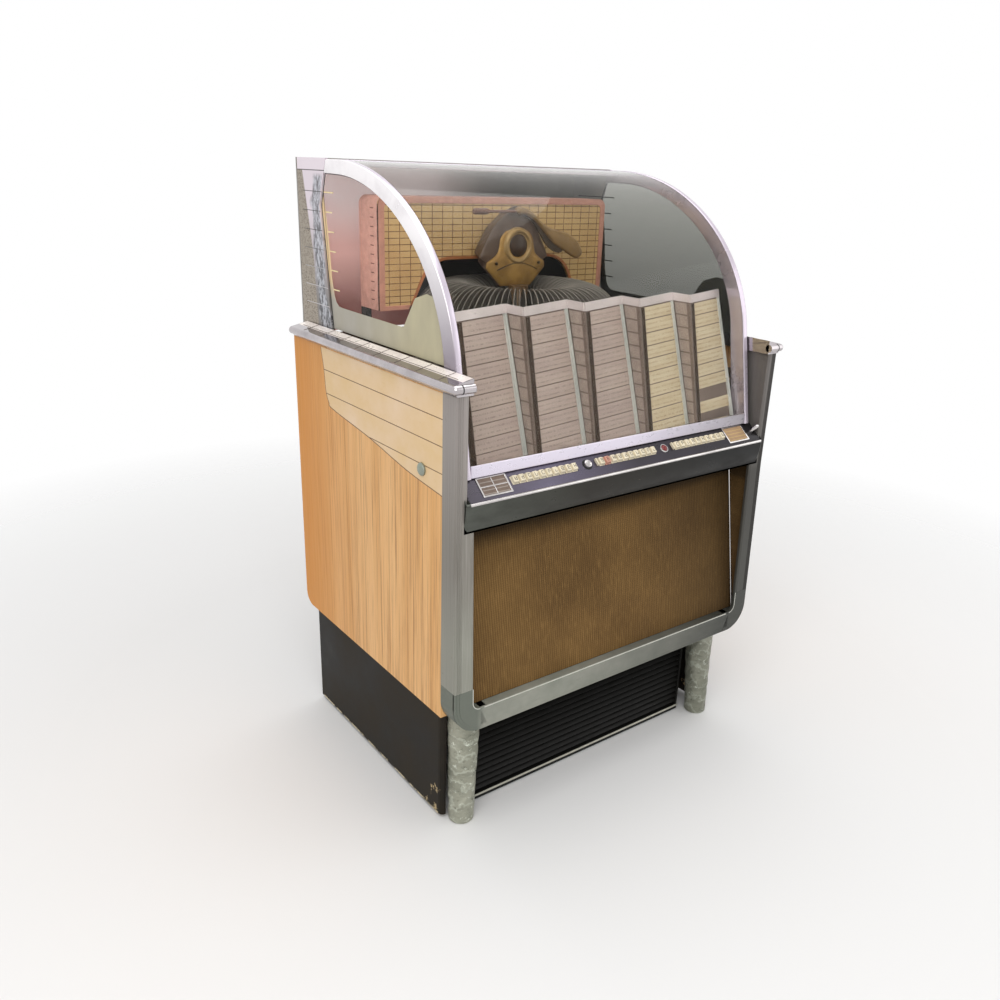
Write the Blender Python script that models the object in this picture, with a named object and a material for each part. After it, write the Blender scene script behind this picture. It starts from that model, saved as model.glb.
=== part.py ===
"""A full-size selector jukebox with a lifting curved glass dome.

Metres, +Z up, the front towards -Y, the origin on the floor under the middle.
"""
import math

import bmesh
import bpy
import numpy as np
from mathutils import Matrix, Vector

# Driving dimensions: the standard records, the carousel round them and the body's height
record_radius = 0.0875
carousel_hub_radius = 0.0555
carousel_rim = 0.0014
panel_top = 0.931
seat_gap = 0.0003
cut_overrun = 0.004

# Side panels and cabinet boards
panel_thickness = 0.018
panel_bottom = 0.277
panel_rear_inset = 0.028
panel_corner_radius = 0.030
board_thickness = 0.018
deck_drop = 0.051
deck_front_inset = 0.1026
corner_post_width = 0.010
corner_post_depth = 0.030
front_rail_depth = 0.0487
door_side_margin = 0.048
door_foot_margin = 0.030
door_head_margin = 0.024
door_thickness = 0.015
door_slot_count = 6
door_slot_length = 0.300
door_slot_height = 0.010
door_slot_pitch = 0.030
door_slot_drop = 0.060
door_hinge_radius = 0.005
door_hinge_length = 0.060
door_hinge_inset = 0.090
door_hinge_leaf = 0.024

# Front pillars: pressed aluminium channels with fluted faces
lip_reach = 0.011
pillar_depth = 0.042
pillar_width = 0.027
pillar_low_width = 0.043
pillar_outset = 0.0005
pillar_wall = 0.003
pillar_cheek_depth = 0.068
flute_count = 3
flute_width = 0.004
flute_depth = 0.0012

# Grille frame round the cloth, its corner castings and the chrome corner rods
grille_rail_bottom = 0.2575
grille_rail_height = 0.049
grille_face_depth = 0.008
grille_fillet = 0.016
grille_flare = 0.0105
casting_radius = 0.060
casting_rise = 0.047
casting_shelf = 0.006
grille_rod_radius = 0.0025
grille_rod_inset = 0.0045

# Cloth covered grille board, leaning back towards its top
grille_board_thickness = 0.008
grille_lean = 0.064
grille_board_side_gap = 0.0023

# Loudspeaker behind the cloth
speaker_margin = 0.02935
speaker_rim = 0.012
speaker_rim_depth = 0.010
speaker_cone_depth = 0.075
speaker_magnet_radius = 0.045
speaker_magnet_depth = 0.040
speaker_wall = 0.003

# Kick panel, legs and louvers under the body
kick_inset = 0.022
kick_thickness = 0.012
kick_bottom = 0.008
kick_front_inset = 0.083
kick_rear_inset = 0.014
leg_side_inset = 0.062
front_leg_inset = 0.067
front_leg_foot_radius = 0.027
front_leg_top_radius = 0.0345
front_leg_chamfer = 0.006
front_leg_splay = 0.008
rear_leg_inset = 0.041
rear_leg_radius = 0.020
leg_bar_width = 0.018
leg_bar_depth = 0.070
side_bar_depth = 0.040
louver_bottom = 0.004
louver_sill = 0.014
louver_end_margin = 0.001
louver_inset = 0.091
louver_frame_depth = 0.016
louver_frame_width = 0.006
louver_count = 14
louver_blade = 0.002
louver_lean = 0.007
louver_bead_radius = 0.004

# Belt trim along the top of each side panel
belt_reach = 0.0115
belt_roll_radius = 0.0085
belt_inner_gap = 0.0025
belt_rear_inset = 0.029
belt_ledge_height = 0.0295
belt_foot_height = 0.004
belt_front_roll_inset = 0.0005

# Selector housing between the pillars
selector_drop = 0.1613
selector_depth = 0.0443
selector_slope_drop = 0.0342
selector_slope_front_inset = 0.0035
selector_height = 0.0917
selector_lip_foot_inset = 0.014
selector_wall = 0.003
selector_lip_overlap = 0.0075
bead_drop = 0.0065
card_window_width = 0.066
card_window_outer_margin = 0.033
card_frame_border = 0.003
card_frame_proud = 0.0015
card_margin = 0.006

# Dome latch knob at the right end of the selector
latch_radius = 0.0042
latch_length = 0.022
latch_inset = 0.0107
latch_sink = 0.002
latch_lean = math.radians(16)

# Selector keys, the round button and the lamp
key_count = 10
key_group_count = 3
key_zone_margin = 0.0057
key_group_gap = 0.0545
key_gap = 0.0008
key_length = 0.018
key_proud = 0.007
key_depth = 0.012
key_chamfer = 0.0022
key_slot_gap = 0.0004
key_line_share = 0.46
button_radius = 0.0085
button_proud = 0.006
button_depth = 0.012
button_round = 0.002
lamp_radius = 0.0075
lamp_proud = 0.005
lamp_depth = 0.008

# Lifting dome: chrome arches, sill, rear bar and glass
dome_side_inset = 0.036
dome_top_inset = 0.002
dome_flat_length = 0.0445
dome_front_inset = 0.068
dome_spring_drop = 0.001
dome_foot_inset = 0.034
hood_depth = 0.1405
arch_thickness = 0.014
arch_foot_width = 0.042
arch_top_width = 0.027
dome_sill_height = 0.023
dome_sill_thickness = 0.004
dome_sill_inset = 0.0025
dome_bar_length = 0.038
dome_bar_height = 0.012
parting_kink_reach = 0.0315
parting_kink_drop = 0.091
parting_foot_reach = 0.0055
parting_gap = 0.001
glass_thickness = 0.004
glass_inset = 0.001
glass_foot_gap = 0.0005
dome_steps = 22

# Rear hood, fixed behind the dome
hood_wall = 0.006

# Title rack behind the front glass
rack_columns = 5
rack_levels = 13
rack_side_gap = 0.0035
rack_rise = 0.0935
rack_valley_top_inset = 0.155
rack_peak_top_inset = 0.105
rack_valley_foot_inset = 0.064
rack_board = 0.0025
rack_fold = 0.003
rack_foot_gap = 0.0002
rack_rail_height = 0.014
rack_rail_proud = 0.0025
rack_shift_share = 1.3
rack_divider_width = 0.011
rack_divider_proud = 0.003

# Back board of the record chamber
backboard_cheek = 0.076
backboard_side_gap = 0.067
backboard_setback = 0.0705
backboard_depth = 0.084
backboard_height = 0.230
backboard_top_drop = 0.068
backboard_wall = 0.004
backboard_corner = 0.018
backboard_arch_clearance = 0.0094
backboard_arch_drop = 0.129
backboard_arch_lean = 0.052
backboard_arch_corner = 0.050
backboard_leg_width = 0.012
backboard_leg_depth = 0.024

# Record carousel, turning round the mechanism column
carousel_to_backboard = 0.069
carousel_to_rack = 0.021
carousel_bore = 0.040
carousel_hub_height = 0.130
carousel_tray = 0.0045
carousel_fin = 0.0012
carousel_fin_height = 0.045
carousel_fin_inner = 0.054
record_count = 50
record_thickness = 0.002
record_sides = 14
record_sleeve_wall = 0.004
record_sleeve_height = 0.060
record_bite = 0.0022

# Mechanism column and its cast housing
column_radius = 0.034
column_foot_radius = 0.0385
column_foot_height = 0.003
column_neck_radius = 0.022
column_neck_height = 0.040
housing_setback = 0.010
housing_depth = 0.055
housing_base_drop = 0.087
housing_crown_rise = 0.083
housing_waist = 0.042
housing_ear_reach = 0.0825
housing_ear_drop = 0.047
housing_notch_reach = 0.079
housing_notch_drop = 0.034
housing_cap_reach = 0.094
housing_cap_drop = 0.0225
housing_temple_reach = 0.082
housing_brow_reach = 0.055
housing_brow_rise = 0.043
housing_crown_radius = 0.022
turntable_clearance = 0.080
turntable_to_top = 0.165
bezel_radius = 0.039
bezel_proud = 0.007
turntable_radius = 0.026
turntable_dome = 0.009
turntable_depth = 0.020
arm_pivot_rise = 0.0715
arm_pivot_radius = 0.009
arm_reach = 0.205
arm_drop_angle = math.radians(26)
arm_root_width = 0.018
arm_head_radius = 0.021
arm_thickness = 0.010
arm_tail = 0.122
arm_tail_radius = 0.003
arm_weight_radius = 0.0065
arm_weight_length = 0.040

# Lock in the left side panel
lock_inset = 0.0680
lock_rise = 0.0043
lock_head_radius = 0.0125
lock_head_proud = 0.006
lock_barrel_radius = 0.0098
lock_bore_gap = 0.0004
lock_cam_length = 0.030
lock_cam_width = 0.012
lock_cam_thickness = 0.003

# Places in height that follow from the sizes above
deck_top = panel_top - deck_drop
turntable_z = deck_top + 2 * record_radius + turntable_clearance
overall_height = turntable_z + turntable_to_top
belt_ledge_top = panel_top + belt_ledge_height
selector_top = panel_top - selector_drop
selector_slope_foot = selector_top - selector_slope_drop
selector_bottom = selector_top - selector_height
grille_rail_top = grille_rail_bottom + grille_rail_height
casting_top = grille_rail_top + casting_rise
speaker_height = (grille_rail_top + selector_bottom) / 2
speaker_radius = (selector_bottom - grille_rail_top) / 2 - speaker_margin - speaker_rim
dome_foot_z = selector_top + seat_gap
dome_top = overall_height - dome_top_inset
dome_centre_z = panel_top - dome_spring_drop
dome_rise = dome_top - dome_centre_z
parting_kink_z = overall_height - parting_kink_drop
side_glass_foot = belt_ledge_top + glass_foot_gap
rack_top = belt_ledge_top + rack_rise
backboard_top = overall_height - backboard_top_drop
backboard_foot = backboard_top - backboard_height
backboard_arch_top = backboard_top - backboard_arch_drop
carousel_tray_bottom = deck_top + seat_gap
carousel_hub_top = deck_top + carousel_hub_height
housing_base = turntable_z - housing_base_drop
housing_top = turntable_z + housing_crown_rise
housing_ear_z = turntable_z - housing_ear_drop
housing_notch_z = turntable_z - housing_notch_drop
housing_cap_z = turntable_z - housing_cap_drop
housing_brow_z = turntable_z + housing_brow_rise
arm_pivot_z = turntable_z + arm_pivot_rise
lock_z = selector_top + lock_rise

# Places in depth: the records set the carousel, and the carousel sets the whole depth
record_centre_r = carousel_hub_radius + seat_gap + record_sleeve_wall + record_radius - record_bite
record_centre_z = carousel_tray_bottom + carousel_tray + seat_gap + record_radius
carousel_radius = record_centre_r + record_radius + carousel_rim
rack_to_carousel_axis = rack_valley_top_inset + carousel_to_rack + carousel_radius
overall_depth = rack_to_carousel_axis + carousel_to_backboard + backboard_setback + hood_depth
front_y = -overall_depth / 2
rear_y = overall_depth / 2
carousel_y = front_y + rack_to_carousel_axis
backboard_front = carousel_y + carousel_to_backboard
housing_front = carousel_y + housing_setback
boss_back = housing_front + housing_depth
dome_hinge_y = rear_y - hood_depth
dome_centre_y = dome_hinge_y - dome_flat_length
dome_reach = dome_centre_y - front_y - dome_front_inset
dome_foot_y = front_y + dome_foot_inset
parting_kink_y = dome_hinge_y + parting_kink_reach
parting_foot_y = dome_hinge_y - parting_foot_reach
rack_valley_top_y = front_y + rack_valley_top_inset
rack_peak_top_y = front_y + rack_peak_top_inset
rack_valley_foot_y = front_y + rack_valley_foot_inset
pillar_front = front_y + lip_reach
panel_front = pillar_front + pillar_depth
panel_rear = rear_y - panel_rear_inset
deck_front = front_y + deck_front_inset
selector_back = front_y + selector_depth
rack_peak_foot_y = selector_back + rack_foot_gap
front_rail_back = selector_back + front_rail_depth
kick_front = front_y + kick_front_inset
kick_rear = panel_rear - kick_rear_inset
front_leg_y = front_y + front_leg_inset
rear_leg_y = kick_rear - rear_leg_inset
louver_front = front_y + louver_inset
lock_y = panel_front + lock_inset
slope_front_y = front_y + selector_slope_front_inset
slope_angle = math.atan2(selector_slope_drop, selector_back - slope_front_y)
slope_length = math.hypot(selector_slope_drop, selector_back - slope_front_y)

# Places in width: the back board spans the carousel, and the body spans the back board
carousel_chord = math.sqrt(carousel_radius ** 2 - carousel_to_backboard ** 2)
backboard_arch_half_width = carousel_chord + backboard_arch_clearance
backboard_width = 2 * (backboard_arch_half_width + backboard_cheek)
arch_inner = backboard_width / 2 + backboard_side_gap
arch_outer = arch_inner + arch_thickness
body_half = arch_outer + dome_side_inset
panel_inner = body_half - panel_thickness
pillar_outer = body_half + pillar_outset
pillar_inner = pillar_outer - pillar_width
pillar_low_inner = pillar_outer - pillar_low_width
leg_x = body_half - leg_side_inset
rack_column_pitch = 2 * (arch_inner - rack_side_gap) / rack_columns
card_window_inner = pillar_inner - seat_gap - card_window_outer_margin - card_window_width
key_zone_half = card_window_inner - key_zone_margin
key_group_length = 2 * (key_zone_half - key_group_gap) / key_group_count
key_pitch = key_group_length / key_count
key_group_pitch = key_group_length + key_group_gap


def clear_scene():
    for old in list(bpy.data.objects):
        bpy.data.objects.remove(old, do_unlink=True)


def finish(name, colour, roughness, metallic=0.0, alpha=1.0):
    """A Principled material with one colour."""
    material = bpy.data.materials.new(name)
    material.use_nodes = True
    shader = material.node_tree.nodes["Principled BSDF"]
    shader.inputs["Base Color"].default_value = (*colour, 1.0)
    shader.inputs["Roughness"].default_value = roughness
    shader.inputs["Metallic"].default_value = metallic
    shader.inputs["Alpha"].default_value = alpha
    return material


def add_solid(name, vertices, faces, material, smooth=False):
    """One closed mesh object whose faces point outwards."""
    mesh = bpy.data.meshes.new(name)
    mesh.from_pydata([tuple(v) for v in vertices], [], [list(f) for f in faces])
    work = bmesh.new()
    work.from_mesh(mesh)
    bmesh.ops.recalc_face_normals(work, faces=work.faces)
    work.to_mesh(mesh)
    work.free()
    if smooth:
        mesh.shade_smooth()
        mesh.set_sharp_from_angle(angle=math.radians(40))
    mesh.materials.append(material)
    solid = bpy.data.objects.new(name, mesh)
    bpy.context.scene.collection.objects.link(solid)
    return solid


def loft(name, rings, material, smooth=False):
    """Join rings with the same number of points, and close both ends."""
    count = len(rings[0])
    vertices = [point for ring in rings for point in ring]
    faces = []
    for level in range(len(rings) - 1):
        for i in range(count):
            j = (i + 1) % count
            low, high = level * count, (level + 1) * count
            faces.append((low + i, low + j, high + j, high + i))
    faces.append(tuple(range(count)))
    faces.append(tuple(range(len(vertices) - count, len(vertices))))
    return add_solid(name, vertices, faces, material, smooth)


def prism(name, outline, axis, start, end, material, smooth=False):
    """Extrude an outline along X, Y or Z, from start to end."""
    def place(point, level):
        a, b = point
        return {"x": (level, a, b), "y": (a, level, b), "z": (a, b, level)}[axis]
    rings = [[place(point, level) for point in outline] for level in (start, end)]
    return loft(name, rings, material, smooth)


def block(name, low, high, material):
    """A rectangular board between two corners."""
    outline = [(low[0], low[1]), (high[0], low[1]), (high[0], high[1]), (low[0], high[1])]
    return prism(name, outline, "z", low[2], high[2], material)


def turned(name, profile, material, sides=20):
    """Turn a profile of (radius, height) round Z. It runs from pole to pole, or closes on itself."""
    vertices = []
    rows = []
    for radius, height in profile:
        if radius == 0:
            rows.append([len(vertices)] * sides)
            vertices.append((0, 0, height))
            continue
        rows.append(list(range(len(vertices), len(vertices) + sides)))
        for k in range(sides):
            angle = 2 * math.pi * k / sides
            vertices.append((radius * math.cos(angle), radius * math.sin(angle), height))
    pairs = list(zip(rows, rows[1:]))
    if profile[0][0] != 0:
        pairs.append((rows[-1], rows[0]))
    faces = []
    for low, high in pairs:
        for k in range(sides):
            j = (k + 1) % sides
            corners = [low[k], low[j], high[j], high[k]]
            faces.append([v for n, v in enumerate(corners) if v not in corners[:n]])
    return add_solid(name, vertices, faces, material, smooth=True)


def arc(centre, radius, start, end, steps):
    """Points along an arc, angles in degrees from the first axis towards the second."""
    angles = np.radians(np.linspace(start, end, steps + 1))
    return [(centre[0] + radius * math.cos(a), centre[1] + radius * math.sin(a)) for a in angles]


def along(axis):
    """Turn a piece made round Z so that its +Z lies along the given direction."""
    return Vector(axis).to_track_quat("Z", "Y").to_matrix().to_4x4()


def put(solid, place, turn=None):
    """Place a solid made round the origin, with its own origin kept there."""
    solid.matrix_world = Matrix.Translation(place) @ (turn or Matrix.Identity(4))
    return solid


def bake(solid):
    """Write an object's place into its mesh."""
    solid.data.transform(solid.matrix_world)
    solid.matrix_world = Matrix.Identity(4)
    return solid


def combine(solid, tool, operation):
    """Join a tool to a solid or cut it away, then drop the tool."""
    bpy.context.view_layer.update()
    step = solid.modifiers.new("combine", "BOOLEAN")
    step.operation = operation
    step.object = tool
    step.solver = "EXACT"
    evaluated = solid.evaluated_get(bpy.context.evaluated_depsgraph_get())
    shape = bpy.data.meshes.new_from_object(evaluated)
    solid.modifiers.clear()
    solid.data = shape
    bpy.data.objects.remove(tool, do_unlink=True)
    return solid


def fuse(solid, *tools):
    for tool in tools:
        combine(solid, tool, "UNION")
    return solid


def cut(solid, *tools):
    for tool in tools:
        combine(solid, tool, "DIFFERENCE")
    return solid


def gathered(name, solids):
    """Put several separate solids into one object, for one Boolean step."""
    work = bmesh.new()
    for solid in solids:
        bpy.context.view_layer.update()
        shape = solid.data.copy()
        shape.transform(solid.matrix_world)
        work.from_mesh(shape)
        bpy.data.objects.remove(solid, do_unlink=True)
    mesh = bpy.data.meshes.new(name)
    work.to_mesh(mesh)
    work.free()
    group = bpy.data.objects.new(name, mesh)
    bpy.context.scene.collection.objects.link(group)
    return group


def set_pivot(solid, point):
    """Move an object's origin to a point without moving its shape."""
    solid.data.transform(Matrix.Translation(-Vector(point)))
    solid.location = point
    return solid


def mirrored(points):
    return [(-a, b) for a, b in points]


def carry(pivot_name, point, solids):
    """Hang solids on an empty that stands on their joint's axis."""
    pivot = bpy.data.objects.new(pivot_name, None)
    pivot.location = point
    bpy.context.scene.collection.objects.link(pivot)
    bpy.context.view_layer.update()
    for solid in solids:
        solid.parent = pivot
        solid.matrix_parent_inverse = pivot.matrix_world.inverted()


# Cabinet


def side_panel(side, wood):
    """A board with a rounded rear foot; the left one is bored for the lock."""
    r = panel_corner_radius
    outline = [(panel_front + seat_gap, panel_bottom)]
    outline += arc((panel_rear - r, panel_bottom + r), r, -90, 0, 5)
    outline += [(panel_rear, panel_top), (panel_front + seat_gap, panel_top)]
    name = "side_panel_left" if side < 0 else "side_panel_right"
    panel = prism(name, outline, "x", side * panel_inner, side * body_half, wood)
    if side < 0:
        bore = turned("bore", [(0, 0), (lock_barrel_radius + lock_bore_gap, 0),
                               (lock_barrel_radius + lock_bore_gap, panel_thickness + 2 * cut_overrun),
                               (0, panel_thickness + 2 * cut_overrun)], wood)
        put(bore, (-body_half - cut_overrun, lock_y, lock_z), along((1, 0, 0)))
        cut(panel, bore)
    return panel


def cabinet_frame(wood):
    """Floor, back wall and deck in one carcass, with front posts and the rail under the glass."""
    half = panel_inner - seat_gap
    floor_z = panel_bottom + seat_gap
    floor_top = floor_z + board_thickness
    wall = panel_rear - board_thickness
    wall_top = panel_top - seat_gap
    outline = [(panel_front + seat_gap, floor_z), (panel_rear, floor_z), (panel_rear, wall_top),
               (wall, wall_top), (wall, deck_top), (deck_front, deck_top),
               (deck_front, deck_top - board_thickness), (wall, deck_top - board_thickness),
               (wall, floor_top), (panel_front + seat_gap, floor_top)]
    frame = prism("cabinet_frame", outline, "x", -half, half, wood)
    posts = []
    for side in (-1, 1):
        inner, outer = sorted((side * half, side * (half - corner_post_width)))
        post_front = pillar_front + pillar_cheek_depth + seat_gap
        posts.append(block("post", (inner, post_front, floor_z),
                           (outer, post_front + corner_post_depth, deck_top), wood))
    rail_half = pillar_inner - seat_gap
    rail = block("rail", (-rail_half, selector_back + seat_gap, selector_bottom),
                 (rail_half, front_rail_back, selector_top), wood)
    opening = block("opening",
                    (-half + door_side_margin, wall - cut_overrun, floor_top + door_foot_margin),
                    (half - door_side_margin, panel_rear + cut_overrun,
                     deck_top - board_thickness - door_head_margin), wood)
    fuse(frame, gathered("posts", posts), rail)
    return cut(frame, opening)


def rear_door(board):
    """A flush door with air slots and two hinge barrels on its right edge."""
    half = panel_inner - seat_gap - door_side_margin - seat_gap
    foot = panel_bottom + seat_gap + board_thickness + door_foot_margin + seat_gap
    head = deck_top - board_thickness - door_head_margin - seat_gap
    door = block("rear_door", (-half, panel_rear - door_thickness, foot), (half, panel_rear, head),
                 board)
    slots = []
    for k in range(door_slot_count):
        top = head - door_slot_drop - k * door_slot_pitch
        slots.append(block("slot", (-door_slot_length / 2, panel_rear - door_thickness - cut_overrun,
                                    top - door_slot_height),
                           (door_slot_length / 2, panel_rear + cut_overrun, top), board))
    cut(door, gathered("slots", slots))
    r = door_hinge_radius
    pin_y = panel_rear + seat_gap + r
    for z in (foot + door_hinge_inset, head - door_hinge_inset - door_hinge_length):
        barrel = turned("barrel", [(0, 0), (r, 0), (r, door_hinge_length), (0, door_hinge_length)],
                        board, sides=10)
        put(barrel, (half, pin_y, z))
        leaf = block("leaf", (half - door_hinge_leaf, panel_rear - door_thickness / 2, z),
                     (half - r / 4, pin_y - r / 4, z + door_hinge_length), board)
        fuse(door, leaf, barrel)
    return set_pivot(door, (half, pin_y, (foot + head) / 2))


def side_lock(chrome):
    """A domed lock barrel through the left side panel, with a cam behind it."""
    r, b, p = lock_head_radius, lock_barrel_radius, lock_head_proud
    reach = panel_thickness + seat_gap
    crown = [(r * math.cos(a), seat_gap + p * (1 + math.sin(a)) / 2)
             for a in np.radians((0, 30, 60))]
    profile = [(0, -reach - lock_cam_thickness), (b, -reach - lock_cam_thickness), (b, seat_gap),
               (r, seat_gap)] + crown + [(0, seat_gap + p)]
    lock = turned("side_lock", profile, chrome)
    w = lock_cam_width / 2
    cam = block("cam", (-w, -lock_cam_length, -reach - lock_cam_thickness), (w, w, -reach), chrome)
    fuse(lock, cam)
    return put(lock, (-body_half, lock_y, lock_z), along((-1, 0, 0)))


# Front pillars and grille


def pillar_section(inner, cheek_back, back):
    """The channel in plan: fluted outer share of the face, deep outer wall, inner cheek."""
    front, wall = pillar_front, pillar_wall
    pitch = pillar_width / (flute_count + 1)
    face = [(inner, front)]
    for k in range(flute_count):
        middle = pillar_inner + (k + 1) * pitch
        w = flute_width / 2
        face += [(middle - w, front), (middle - w / 2, front + flute_depth),
                 (middle + w / 2, front + flute_depth), (middle + w, front)]
    return face + [(pillar_outer, front), (pillar_outer, back), (pillar_outer - wall, back),
                   (pillar_outer - wall, front + wall), (inner + wall, front + wall),
                   (inner + wall, cheek_back), (inner, cheek_back)]


def pillar(side, metal):
    """A channel open to the rear, wide beside the cloth and narrow beside the selector."""
    upper_outline = pillar_section(pillar_inner, pillar_front + pillar_cheek_depth, panel_front)
    low_outline = pillar_section(pillar_low_inner, pillar_front + grille_face_depth, panel_front)
    if side < 0:
        upper_outline, low_outline = mirrored(upper_outline), mirrored(low_outline)
    neck = selector_bottom - seat_gap
    name = "pillar_left" if side < 0 else "pillar_right"
    column = flared(prism(name, low_outline, "z", casting_top + seat_gap, neck, metal))
    middle = [(min(abs(x), pillar_outer), min(y, panel_front)) for x, y in
              pillar_section(pillar_inner, panel_front, panel_front)]
    middle = mirrored(middle) if side < 0 else middle
    joint = prism("joint", middle, "z", neck - pillar_wall, selector_top + seat_gap, metal)
    upper = prism("upper", upper_outline, "z", selector_top + seat_gap - cut_overrun, panel_top, metal)
    return fuse(column, joint, upper)


def flared(solid):
    """Lean the front of a solid forward towards its foot; its rear stays upright."""
    middle = pillar_front + grille_face_depth + seat_gap
    height = selector_bottom - grille_rail_bottom
    for vertex in solid.data.vertices:
        if vertex.co.y < middle and vertex.co.z < selector_bottom:
            vertex.co.y -= grille_flare * (selector_bottom - vertex.co.z) / height
    return solid


def corner_casting(side, paint):
    """The rounded corner that joins a pillar to the beam, as a plate and a bent rim."""
    r, out, f = casting_radius, pillar_outer, grille_fillet
    bend = arc((out - r, grille_rail_bottom + r), r, -90, 0, 10)
    outline = [(out - r - f, grille_rail_bottom)] + bend
    outline += [(out, casting_top), (pillar_low_inner, casting_top)]
    outline += arc((pillar_low_inner - f, grille_rail_top + f), f, 0, -90, 4)
    rim = bend + [(out, casting_top), (out - pillar_wall, casting_top)]
    rim += arc((out - r, grille_rail_bottom + r), r - pillar_wall, 0, -90, 10)
    if side < 0:
        outline, rim = mirrored(outline), mirrored(rim)
    plate = prism("plate", outline, "y", pillar_front, pillar_front + grille_face_depth, paint)
    return [plate, prism("rim", rim, "y", pillar_front + grille_face_depth / 2, panel_front, paint)]


def grille_frame(paint):
    """A deep bottom beam, a rounded casting at each corner and two corner rods."""
    reach = pillar_outer - casting_radius
    frame = block("grille_frame", (-reach, pillar_front, grille_rail_bottom),
                  (reach, panel_front, grille_rail_top), paint)
    for side in (-1, 1):
        low, high = sorted((side * (reach - grille_fillet), side * pillar_inner))
        shelf = block("shelf", (low, pillar_front + grille_face_depth / 2, grille_rail_top - casting_shelf),
                      (high, panel_front, grille_rail_top), paint)
        fuse(frame, *corner_casting(side, paint), shelf)
    flared(frame)
    rods = [grille_rod(side, paint) for side in (-1, 1)]
    return fuse(frame, gathered("rods", rods))


def grille_plane_y(z):
    """How far back the front face of the leaning grille board lies at a height."""
    foot = pillar_front + grille_face_depth + seat_gap
    share = (z - grille_rail_top) / (selector_bottom - grille_rail_top)
    return foot + grille_lean * share


def grille_rod(side, paint):
    """A thin round rod in the corner between the leaning board and its cheek."""
    r = grille_rod_radius
    x = side * (pillar_inner - grille_rod_inset - r)
    ends = (grille_rail_top - r, selector_bottom - seat_gap - r)
    foot, head = (Vector((x, grille_plane_y(z) - r - 2 * seat_gap, z)) for z in ends)
    length = (head - foot).length
    rod = turned("rod", [(0, 0), (r, 0), (r, length), (0, length)], paint, sides=8)
    return put(rod, foot, along(head - foot))


def grille_panel(cloth):
    """The leaning board with a triangular cheek at each side, wrapped in cloth."""
    foot_z = grille_rail_top + seat_gap
    head_z = selector_bottom - seat_gap
    t = grille_board_thickness
    half = panel_inner - corner_post_width - 2 * seat_gap
    lean = [(grille_plane_y(foot_z), foot_z), (grille_plane_y(foot_z) + t, foot_z),
            (grille_plane_y(head_z) + t, head_z), (grille_plane_y(head_z), head_z)]
    board = prism("grille_panel", lean, "x", -half, half, cloth)
    strip_back = pillar_front + grille_face_depth + seat_gap
    cheeks = []
    for side in (-1, 1):
        inner = half - grille_board_side_gap
        triangle = [(strip_back, foot_z), (grille_plane_y(head_z) + t / 2, head_z),
                    (strip_back, head_z)]
        low, high = sorted((side * inner, side * half))
        cheeks.append(prism("cheek", triangle, "x", low, high, cloth))
    return fuse(board, gathered("cheeks", cheeks))


def speaker(metal):
    """A cone loudspeaker whose rim lies on the back of the leaning board."""
    r, w = speaker_radius, speaker_wall
    magnet_r, depth = speaker_magnet_radius, speaker_cone_depth
    total = depth + speaker_magnet_depth
    profile = [(0, total), (magnet_r, total), (magnet_r, depth), (r, speaker_rim_depth),
               (r + speaker_rim, speaker_rim_depth), (r + speaker_rim, 0), (r - w, 0),
               (magnet_r - w, depth - w), (0, depth - w)]
    cone = turned("speaker", profile[::-1], metal, sides=24)
    lean = math.atan2(grille_lean, selector_bottom - grille_rail_top)
    normal = Vector((0, math.cos(lean), -math.sin(lean)))
    surface = Vector((0, grille_plane_y(speaker_height), speaker_height))
    gap = grille_board_thickness * math.cos(lean) + seat_gap
    return put(cone, surface + normal * gap, along(normal))


# Base


def kick_panel(black):
    """Two side boards with round front ends and a rear board, open at the front."""
    outer = body_half - kick_inset
    inner = outer - kick_thickness
    t = kick_thickness
    end = [(inner, kick_front)] + arc((outer - t, kick_front + t), t, -90, 0, 4)
    outline = mirrored(end) + [(-outer, kick_rear), (outer, kick_rear)] + end[::-1]
    outline += [(inner, kick_rear - t), (-inner, kick_rear - t)]
    return prism("kick_panel", outline, "z", kick_bottom, panel_bottom - seat_gap, black)


def leg(x, y, foot_radius, top_radius, height, material):
    """A turned leg that narrows to its foot."""
    c = front_leg_chamfer
    profile = [(0, 0), (foot_radius - c / 2, 0), (foot_radius, c), (top_radius, height), (0, height)]
    return put(turned("leg", profile, material, sides=18), (x, y, 0))


def front_leg(side, height, material):
    """A front leg whose foot stands a little further out and forward than its top."""
    post = leg(side * leg_x, front_leg_y, front_leg_foot_radius, front_leg_top_radius, height, material)
    lean = Matrix.Identity(4)
    lean[0][2] = -side * front_leg_splay / height
    lean[1][2] = front_leg_splay / height
    post.data.transform(lean)
    return post


def leg_frame(metal):
    """Four legs under a welded ring of flat bars."""
    top = panel_bottom - seat_gap
    w = leg_bar_width
    leg_top = grille_rail_bottom - seat_gap
    front_y_top = front_leg_y + front_leg_splay
    bar_y = louver_front + louver_frame_depth + seat_gap + w / 2
    frame = block("leg_frame", (-leg_x, bar_y - w / 2, top - leg_bar_depth),
                  (leg_x, bar_y + w / 2, top), metal)
    rear = block("rear", (-leg_x, rear_leg_y - w / 2, top - side_bar_depth),
                 (leg_x, rear_leg_y + w / 2, top), metal)
    sides = [block("bar", (s * leg_x - w / 2, front_y_top, top - side_bar_depth),
                   (s * leg_x + w / 2, rear_leg_y, top), metal) for s in (-1, 1)]
    fuse(frame, gathered("sides", sides), rear)
    legs = [front_leg(s, leg_top, metal) for s in (-1, 1)]
    legs += [leg(s * leg_x, rear_leg_y, rear_leg_radius - front_leg_chamfer / 2, rear_leg_radius,
                 top - side_bar_depth / 2, metal) for s in (-1, 1)]
    return fuse(frame, gathered("legs", legs))


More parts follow.
